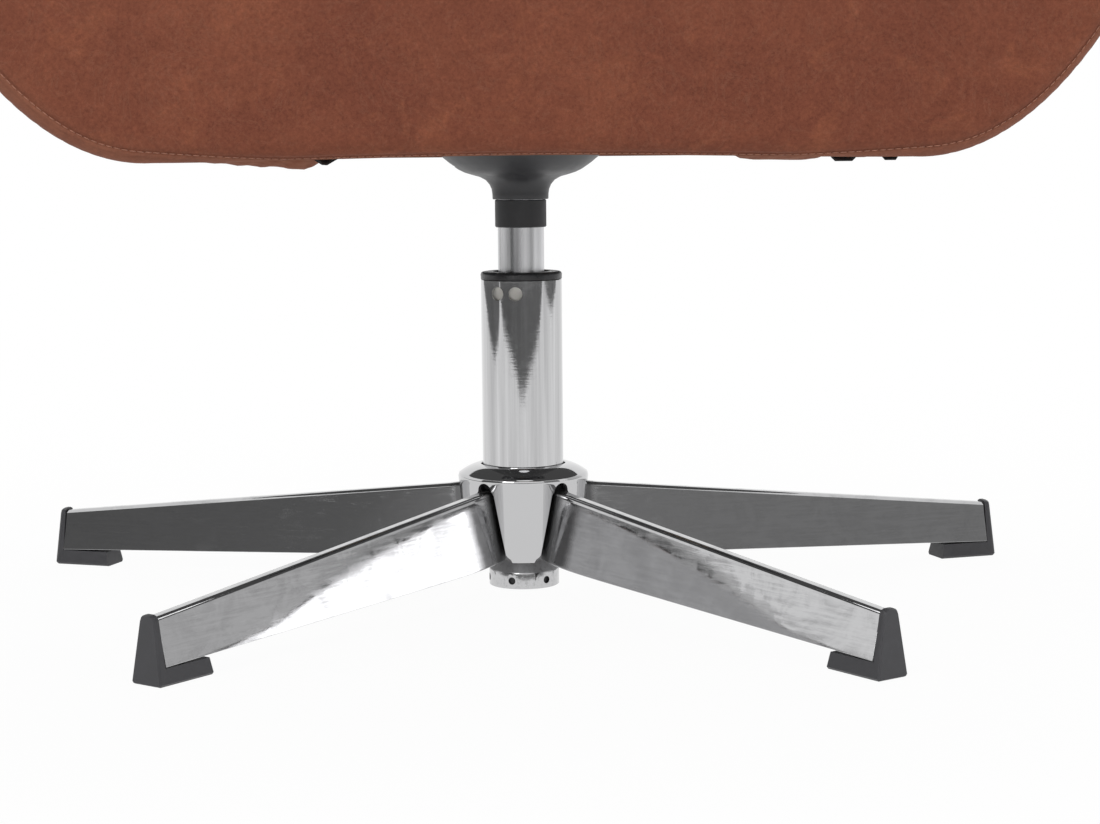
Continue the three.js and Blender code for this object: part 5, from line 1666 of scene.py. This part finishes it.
class CHAIR_OT_hub(bpy.types.Operator):
    """Makes the chromed hub with an arched slot for each leg"""

    bl_idname = "chair.hub"
    bl_label = "Hub"

    NECK = 25.9
    WALL = 2.5
    SLOT_START = 30.7
    SLOT_DEPTH = 30
    ARCH_RADIUS = 4.9
    ARCH_HEIGHT = 64.5

    def execute(self, context):
        neck = self.NECK
        crown = [(neck + 0.5 + 13.5 * step / 14, 77.9 - 5.6 * (step / 14) ** 1.8) for step in range(15)]
        bm = spun([
            (neck, 74.6), (neck, 77.3), *crown, (40.3, 71.2), (40.45, 70.2), (40.4, 68.8),
            (38.0, 45), (35.5, 20.6), (35.5 - self.WALL, 20.6), (37.6, 68.2), (neck, 74.6),
        ], steps=240)
        shell = started("hub_bell", bm, chrome())
        tools = []
        for index in range(len(LEG_NAMES)):
            bm = bmesh.new()
            half = [(15.1, 0), (15.1, 20.6), (14.2, 22.6), (12.4, 24.0), (11.5, 25.6), (6.5, 62)]
            arch = [
                (self.ARCH_RADIUS * math.cos(angle), self.ARCH_HEIGHT + self.ARCH_RADIUS * math.sin(angle))
                for angle in (math.radians(degrees) for degrees in range(0, 91, 15))
            ]
            outline = mirrored(half + arch)
            face = bm.faces.new([bm.verts.new((x, self.SLOT_START, z)) for x, z in outline])
            made = bmesh.ops.extrude_face_region(bm, geom=[face])
            tops = [item for item in made["geom"] if isinstance(item, bmesh.types.BMVert)]
            bmesh.ops.translate(bm, verts=tops, vec=(0, self.SLOT_DEPTH, 0))
            turned_to_leg(bm, index)
            outward(bm)
            tools.append(started(f"slot_tool_{index}", bm, dull_steel()))
        carved(shell, tools)
        bm = bmesh.new()
        bm.from_mesh(shell.data)
        bmesh.ops.remove_doubles(bm, verts=bm.verts, dist=1e-6)
        softened(bm, 0.45 * MM, 40, 3)
        bm.to_mesh(shell.data)
        bm.free()
        finished(shell, "base", "chrome", ["hub_shell"], sharp=45, weighted=True)
        piece = refined("hub_core", plated_steel(), 0.4)
        finished(piece, "base", "steel", ["hub_core"])
        return {"FINISHED"}


def sleeve(inner, outer, low, top):
    """The section of a plain sleeve."""
    return [(inner, low), (outer, low), (outer, top), (inner, top), (inner, low)]


def drill(name, material, turn, out, height, radius, depth, segments):
    """A lying cylinder to cut a hole with, out millimetres from the axis, turn degrees from the front."""
    bm = bmesh.new()
    bmesh.ops.create_cone(
        bm, cap_ends=True, segments=segments, radius1=radius, radius2=radius, depth=depth,
        matrix=Matrix.Rotation(math.radians(turn), 4, "Z")
        @ Matrix.Translation((0, -out, height)) @ Matrix.Rotation(math.pi / 2, 4, "X"),
    )
    return started(name, bm, material)


class CHAIR_OT_column(bpy.types.Operator):
    """Makes the column's tube with its cap, bush and bottom cup"""

    bl_idname = "chair.column"
    bl_label = "Column"

    def execute(self, context):
        bm = spun(sleeve(TUBE_INNER, TUBE_OUTER, TUBE_LOW, TUBE_TOP), steps=192)
        softened(bm, 0.3, 40, 2)
        tube = started("column_tube_chrome", bm, tube_chrome())
        carved(tube, [
            drill(f"hole_tool_{index}", chrome(), turn, TUBE_OUTER, HOLE_HEIGHT, HOLE_RADIUS, 30, 40)
            for index, turn in enumerate(HOLE_BEARINGS)
        ])
        finished(tube, "base", "chrome", ["column_tube"], sharp=20, weighted=True)

        bm = spun([
            (14.6, 192.4), (25, 192.4), (25.1, 195.2), (24.8, 196.2), (24.0, 196.8), (22.8, 197.0),
            (17.6, 197.0), (17.0, 196.6), (17.0, 195.8), (14.6, 195.8), (14.6, 192.4),
        ], steps=160)
        piece = started("tube_cap", bm, black_plastic("gloss cap plastic", roughness=0.3, depth=0.02))
        finished(piece, "base", "cover_plastic", ["tube_top_cap"], sharp=40)

        bm = softened(spun(sleeve(14.27, 22.7, 150, TUBE_TOP)), 0.4)
        piece = started("guide_bush_nylon", bm, nylon())
        finished(piece, "base", "nylon", ["guide_bush"])

        bm = spun([
            (5.3, 26.4), (15.4, 26.4), (15.4, 18.6), (19.6, 11.8), (19.6, 1.9), (20.0, 1.7), (21.4, 1.7),
            (21.8, 2.1), (21.8, 11.2), (21.5, 12.1), (17.8, 18.2), (17.6, 19), (17.6, 24.9), (22.7, 24.9),
            (22.7, 30), (5.3, 30), (5.3, 26.4),
        ], steps=144)
        cup = started("bottom_cup_chrome", bm, satin_chrome())
        carved(cup, [
            drill(
                f"cup_tool_{index}", black_plastic(), turn, CUP_HOLE_OUT, CUP_HOLE_HEIGHT, CUP_HOLE_RADIUS,
                8, 28,
            )
            for index, turn in enumerate(CUP_HOLE_BEARINGS)
        ])
        finished(cup, "base", "chrome", ["bottom_cup"], sharp=35)
        return {"FINISHED"}


class CHAIR_OT_lift(bpy.types.Operator):
    """Makes the gas cylinder, its collar and the dome cover"""

    bl_idname = "chair.lift"
    bl_label = "Lift unit"

    def execute(self, context):
        bm = capped(spun([
            (5.1, 51.2), (13.6, 51.2), (14.2, 51.8), (14.2, 261.4), (13.6, 262), (4.1, 262), (4.1, 250.7),
            (0, 250.7),
        ]))
        piece = started("gas_cylinder_steel", bm, steel())
        finished(piece, "lift_unit", "steel", ["gas_cylinder"], sharp=40)

        bm = spun([
            (14.55, 224.1), (15.2, 224.1), (15.8, 224.7), (15.8, 240.4), (15.4, 240.9), (14.55, 240.9),
            (14.55, 224.1),
        ])
        piece = started("socket_collar_cover", bm, black_plastic("dull collar plastic", roughness=0.5))
        finished(piece, "lift_unit", "cover_plastic", ["socket_collar"])

        profile = [
            (16.4, 241.2), (16.9, 241.2), (17.2, 241.6), (17.3, 244.6), (17.7, 247.4), (18.9, 250.2),
            (21.2, 252.9), (24.8, 254.9), (29.8, 256.3), (34.0, 257.6), (37.8, 259.4), (43.6, 263.4),
            (50.6, 269.2), (56.2, 274.4), (60.0, 278.4), (60.5, 279.0), (60.1, 279.4), (58.6, 279.0),
            (54.6, 275.6), (48.6, 270.2), (42.0, 264.9), (36.8, 261.6), (29.0, 258.6), (23.4, 257.0),
            (19.4, 254.4), (17.3, 250.8), (16.5, 247.0), (16.4, 241.2),
        ]
        dome = started("dome_cover_shell", spun(profile, steps=160), black_plastic())
        bm = bmesh.new()
        bmesh.ops.create_cube(
            bm, size=1, matrix=Matrix.Translation((-55.2, 0, 268.6)) @ Matrix.Diagonal((50, 14, 15.2, 1)),
        )
        carved(dome, [started("dome_slot_tool", bm, black_plastic())])
        finished(dome, "lift_unit", "cover_plastic", ["dome_cover"], sharp=40)
        return {"FINISHED"}


class CHAIR_OT_tilt_mechanism(bpy.types.Operator):
    """Finishes the tilt housing, seat plate, pins, bolts, bushes and springs"""

    bl_idname = "chair.tilt_mechanism"
    bl_label = "Tilt mechanism"

    # Nodes with their material, the width of their rounded edges and their slot
    ROUNDED = (
        ("tilt_housing", plated_steel, 0.8, "steel"),
        ("pivot_pin", steel, 0.5, "steel"),
        ("lever_pin", steel, 0.2, "steel"),
        ("seat_plate", plated_steel, 0.5, "steel"),
        ("pivot_bush_left", nylon, 0.2, "nylon"),
        ("pivot_bush_right", nylon, 0.2, "nylon"),
        ("plate_bolt_front_left", steel, 0.5, "steel"),
        ("plate_bolt_front_right", steel, 0.5, "steel"),
        ("plate_bolt_rear_left", steel, 0.5, "steel"),
        ("plate_bolt_rear_right", steel, 0.5, "steel"),
        ("release_lever", steel, 0.5, "steel"),
        ("lever_paddle", black_plastic, 1.2, "cover_plastic"),
        ("valve_button", steel, 0.4, "steel"),
    )
    PLAIN_STEEL = ("thrust_washer_lower", "thrust_washer_upper", "ball_cage", "retaining_clip", "piston_rod")

    def execute(self, context):
        bodies = {
            name: body
            for body, members in frame["record"]["behaviour"]["bodies"].items() for name in members
        }
        for name, material, width, slot in self.ROUNDED:
            finished(refined(name, material(), width), bodies[name], slot, [name], weighted=True)
        for name in self.PLAIN_STEEL:
            dressed(name, steel())
        dressed("rubber_bumper", rubber())
        bottom, top = SPRING_ENDS
        steps = SPRING_TURNS * 28
        for side, x in (("left", SPRING_PLACE[0]), ("right", -SPRING_PLACE[0])):
            y = SPRING_PLACE[1]
            points = []
            for step in range(int(steps) + 1):
                turn = 2 * math.pi * step / 28
                points.append(Vector((
                    x + SPRING_RADIUS * math.cos(turn), y + SPRING_RADIUS * math.sin(turn),
                    bottom + (top - bottom) * step / steps,
                )) * MM)
            piece = swept(f"tilt_spring_{side}_wire", points, SPRING_WIRE * MM, steel(), steps=3)
            finished(piece, "lift_unit", "steel", [f"tilt_spring_{side}"])
            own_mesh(piece)
        return {"FINISHED"}


class CHAIR_OT_wooden_frame(bpy.types.Operator):
    """Finishes the birch frame inside the upholstery"""

    bl_idname = "chair.wooden_frame"
    bl_label = "Wooden frame"

    def execute(self, context):
        for name in (
            "side_rail_left", "side_rail_right", "front_rail", "rear_rail", "bottom_board",
            "arm_frame_left", "arm_frame_right", "back_frame",
        ):
            dressed(name, birch())
        return {"FINISHED"}


class CHAIR_OT_stage(bpy.types.Operator):
    """Sets the camera, the white surroundings, the lamps and the cards that the chrome mirrors"""

    bl_idname = "chair.stage"
    bl_label = "Stage"

    CAMERA_ANGLES = (1.71, -6.552, -0.5)  # yaw, pitch and roll in degrees
    CAMERA_PLACE = (-25.0, -1406.23, 270.79)
    FOCAL_PIXELS = 2278.35
    SENSOR_WIDE = 36

    # Name, place, size and power, the lengths here and below in metres
    LAMPS = (
        ("key lamp", (-1.6, -2.2, 2.3), 1.8, 31),
        ("fill lamp", (1.9, -2.4, 1.6), 2.0, 24),
        ("top lamp", (0.2, 0.6, 3.0), 2.4, 34),
        ("rear lamp", (0.4, 2.8, 1.9), 1.8, 26),
    )

    # Upright cards: name, distance, tones at the left and right sides, top, and the points of the lower
    # edge as (bearing in degrees, height). A bearing is 0 towards the camera and grows towards +X.
    CARDS = (
        ("card_dark_left", 2.5, 0.1, 0.145, 1.4, ((-80, 0.1), (-46, 0.1))),
        ("card_dusk_left", 2.5, 0.145, 0.34, 1.4, ((-46, 0.1), (-38, 0.1))),
        ("card_dark_right", 2.5, 0.24, 0.28, 1.4, ((36, 0.1), (66, 0.1))),
        ("card_grey_right", 2.2, 0.6, 0.75, 1.4, ((84, 0.1), (126, 0.1))),
        ("card_bright", 2.5, 4.2, 4.2, 2.5, ((-37.9, 0.55), (-18, 0.55))),
        ("card_pale", 2.5, 0.95, 0.9, 2.5, ((16, 0.55), (35.9, 0.55))),
        ("card_notch_middle", 1.0, 0.13, 0.19, 0.15, (
            (-64, 0.125), (-54, 0.088), (-34, 0.064), (-18, 0.042), (-8, 0.02), (4, 0.02), (19, 0.042),
            (37, 0.064), (50, 0.088), (60, 0.133),
        )),
        ("card_notch_left", 1.0, 0.19, 0.17, 0.15, (
            (-137, 0.137), (-119, 0.11), (-101, 0.075), (-85, 0.056), (-72, 0.072), (-66, 0.1),
        )),
        ("card_notch_right", 1.0, 0.17, 0.19, 0.15, (
            (66, 0.137), (76, 0.12), (89, 0.106), (99, 0.112), (113, 0.13),
        )),
    )

    # Lying cards: name, tone, height, inner and outer radius, stretch along X, centre
    FLAGS = (
        ("flag_under_seat", 0.09, 0.259, 0.07, 0.31, 1, (0, 0)),
        ("strip_under_seat", 2.0, 0.256, 0.0, 0.034, 1.6, (0.006, -0.175)),
    )

    def execute(self, context):
        scene = context.scene
        scene.view_settings.view_transform = "Standard"
        self.camera(scene)
        self.world(scene)
        self.floor()
        self.lamps(scene)
        self.cards()
        return {"FINISHED"}

    def camera(self, scene):
        yaw, pitch, roll = (math.radians(angle) for angle in self.CAMERA_ANGLES)
        ahead = Vector((math.sin(yaw) * math.cos(pitch), math.cos(yaw) * math.cos(pitch), math.sin(pitch)))
        right = ahead.cross(Vector((0, 0, 1))).normalized()
        up = right.cross(ahead)
        right, up = (
            right * math.cos(roll) + up * math.sin(roll), up * math.cos(roll) - right * math.sin(roll)
        )
        data = bpy.data.cameras.new("front camera")
        data.sensor_width = self.SENSOR_WIDE
        data.lens = self.FOCAL_PIXELS / PICTURE_WIDE * data.sensor_width
        data.clip_start, data.clip_end = 0.05, 60
        camera = bpy.data.objects.new("front camera", data)
        turn = Matrix((right, up, -ahead)).transposed().to_4x4()
        turn.translation = Vector(self.CAMERA_PLACE) * MM
        camera.matrix_world = turn
        scene.collection.objects.link(camera)
        scene.camera = camera

    def seen_rays(self, tree):
        """1 for the rays that should meet the white surroundings, 0 for the light on the object."""
        path = added(tree, "LightPath")
        total = path.outputs["Is Camera Ray"]
        for name in ("Is Glossy Ray", "Is Transmission Ray"):
            total = reckoned(tree, "MAXIMUM", total, path.outputs[name])
        return total

    def mixed(self, tree, share, first, second, output):
        """Leads two shaders, mixed by share, to the named output."""
        mix = added(tree, "MixShader", Fac=share)
        for number, shader in enumerate((first, second), 1):
            tree.links.new(shader.outputs[0], mix.inputs[number])
        tree.links.new(mix.outputs["Shader"], tree.nodes[output].inputs["Surface"])

    def world(self, scene):
        world = bpy.data.worlds.new("white studio")
        scene.world = world
        world.use_nodes = True
        tree = world.node_tree
        light = tree.nodes["Background"]
        light.inputs["Color"].default_value = (1, 1, 1, 1)
        light.inputs["Strength"].default_value = 0.5
        seen = added(tree, "Background", Color=(1, 1, 1, 1), Strength=1.0)
        self.mixed(tree, self.seen_rays(tree), light, seen, "World Output")

    def floor(self):
        bm = bmesh.new()
        bmesh.ops.create_grid(bm, x_segments=1, y_segments=1, size=9)
        made = Recipe("white floor", (0.9, 0.9, 0.9), 0.9, specular=0.1)
        place = made.node("TexCoord").outputs["Object"]
        length = made.node("VectorMath", {"operation": "LENGTH"}, Vector=place).outputs["Value"]
        share = made.times(self.seen_rays(made.tree), made.ramp(length, 0.7, 2.4, 0.96, 1.0))
        self.mixed(made.tree, share, made.shader, made.node("Emission", Strength=1.0), "Material Output")
        floor = started("floor", bm, made.material, in_metres=True)

    def lamps(self, scene):
        for name, place, size, power in self.LAMPS:
            data = bpy.data.lights.new(name, "AREA")
            data.shape = "DISK"
            data.size = size
            data.energy = power
            lamp = bpy.data.objects.new(name, data)
            lamp.location = place
            aim = Vector((0, 0, 0.3)) - Vector(place)
            lamp.rotation_mode = "QUATERNION"
            lamp.rotation_quaternion = aim.to_track_quat("-Z", "Y")
            lamp.visible_glossy = False
            scene.collection.objects.link(lamp)

    def glowing(self, name, strength):
        """A material that only glows. strength(tree) is a number or a node's output."""
        material = bpy.data.materials.new(name)
        material.use_nodes = True
        tree = material.node_tree
        tree.nodes.clear()
        glow = added(tree, "Emission", Strength=strength(tree))
        added(tree, "OutputMaterial", Surface=glow.outputs["Emission"])
        return material

    def cards(self):
        """Makes the cards and flags, which only the shiny pieces see."""
        for name, distance, left, right, top, edge in self.CARDS:
            bm = bmesh.new()
            bearings = [math.radians(bearing) for bearing, _ in edge]
            lows, highs = ([
                bm.verts.new((distance * math.sin(bearing), -distance * math.cos(bearing), height))
                for bearing, height in zip(bearings, heights)
            ] for heights in ([height for _, height in edge], [top] * len(edge)))
            for index in range(len(edge) - 1):
                bm.faces.new((lows[index], lows[index + 1], highs[index + 1], highs[index]))
            low, high = min(bearings), max(bearings)
            start = Vector((math.sin(low), -math.cos(low), 0)) * distance
            finish = Vector((math.sin(high), -math.cos(high), 0)) * distance
            along = finish - start

            def fade(tree):
                place = added(tree, "TexCoord").outputs["Object"]
                across = added(tree, "VectorMath", {"operation": "DOT_PRODUCT"}, Vector=place)
                across.inputs[1].default_value = along
                return ranged(
                    tree, across.outputs["Value"], start.dot(along), finish.dot(along), left, right
                )

            self.show_to_chrome(started(name, bm, self.glowing(name, fade), in_metres=True))
        for name, tone, height, inner, outer, wide, centre in self.FLAGS:
            bm = bmesh.new()
            bmesh.ops.create_circle(bm, cap_ends=not inner, segments=64, radius=outer)
            if inner:
                bmesh.ops.create_circle(bm, segments=64, radius=inner)
                bmesh.ops.bridge_loops(bm, edges=bm.edges[:])
            bmesh.ops.scale(bm, vec=(wide, 1, 1), verts=bm.verts)
            bmesh.ops.translate(bm, verts=bm.verts, vec=(*centre, height))
            material = self.glowing(name, lambda tree: tone)
            self.show_to_chrome(started(name, bm, material, in_metres=True))

    def show_to_chrome(self, card):
        """Leaves a card visible in reflections only."""
        card.visible_camera = False
        card.visible_diffuse = False
        card.visible_shadow = False
        card.visible_transmission = False


class CHAIR_PT_panel(bpy.types.Panel):
    """Lists the chair's pieces and settings"""

    bl_idname = "CHAIR_PT_panel"
    bl_label = "Swivel rocker"
    bl_space_type = "VIEW_3D"
    bl_region_type = "UI"
    bl_category = "Chair"

    def draw(self, context):
        for settings in (context.scene.chair_finishes, context.scene.chair_shapes):
            for name in settings.__annotations__:
                self.layout.prop(settings, name)
        for operator in OPERATORS:
            self.layout.operator(operator.bl_idname)


OPERATORS = (
    CHAIR_OT_stage,
    CHAIR_OT_front_panel,
    CHAIR_OT_arms,
    CHAIR_OT_outer_back,
    CHAIR_OT_seat_cushion,
    CHAIR_OT_back_cushion,
    CHAIR_OT_hems,
    CHAIR_OT_dust_cover,
    CHAIR_OT_legs,
    CHAIR_OT_feet,
    CHAIR_OT_hub,
    CHAIR_OT_column,
    CHAIR_OT_lift,
    CHAIR_OT_tilt_mechanism,
    CHAIR_OT_wooden_frame,
)
CLASSES = (ChairFinishes, ChairShapes, *OPERATORS, CHAIR_PT_panel)


def register():
    for cls in CLASSES:
        bpy.utils.register_class(cls)
    bpy.types.Scene.chair_finishes = bpy.props.PointerProperty(type=ChairFinishes)
    bpy.types.Scene.chair_shapes = bpy.props.PointerProperty(type=ChairShapes)


def unregister():
    del bpy.types.Scene.chair_shapes
    del bpy.types.Scene.chair_finishes
    for cls in reversed(CLASSES):
        bpy.utils.unregister_class(cls)


def main():
    register()
    for operator in OPERATORS:
        group, name = operator.bl_idname.split(".")
        getattr(getattr(bpy.ops, group), name)()


if __name__ == "__main__":
    main()
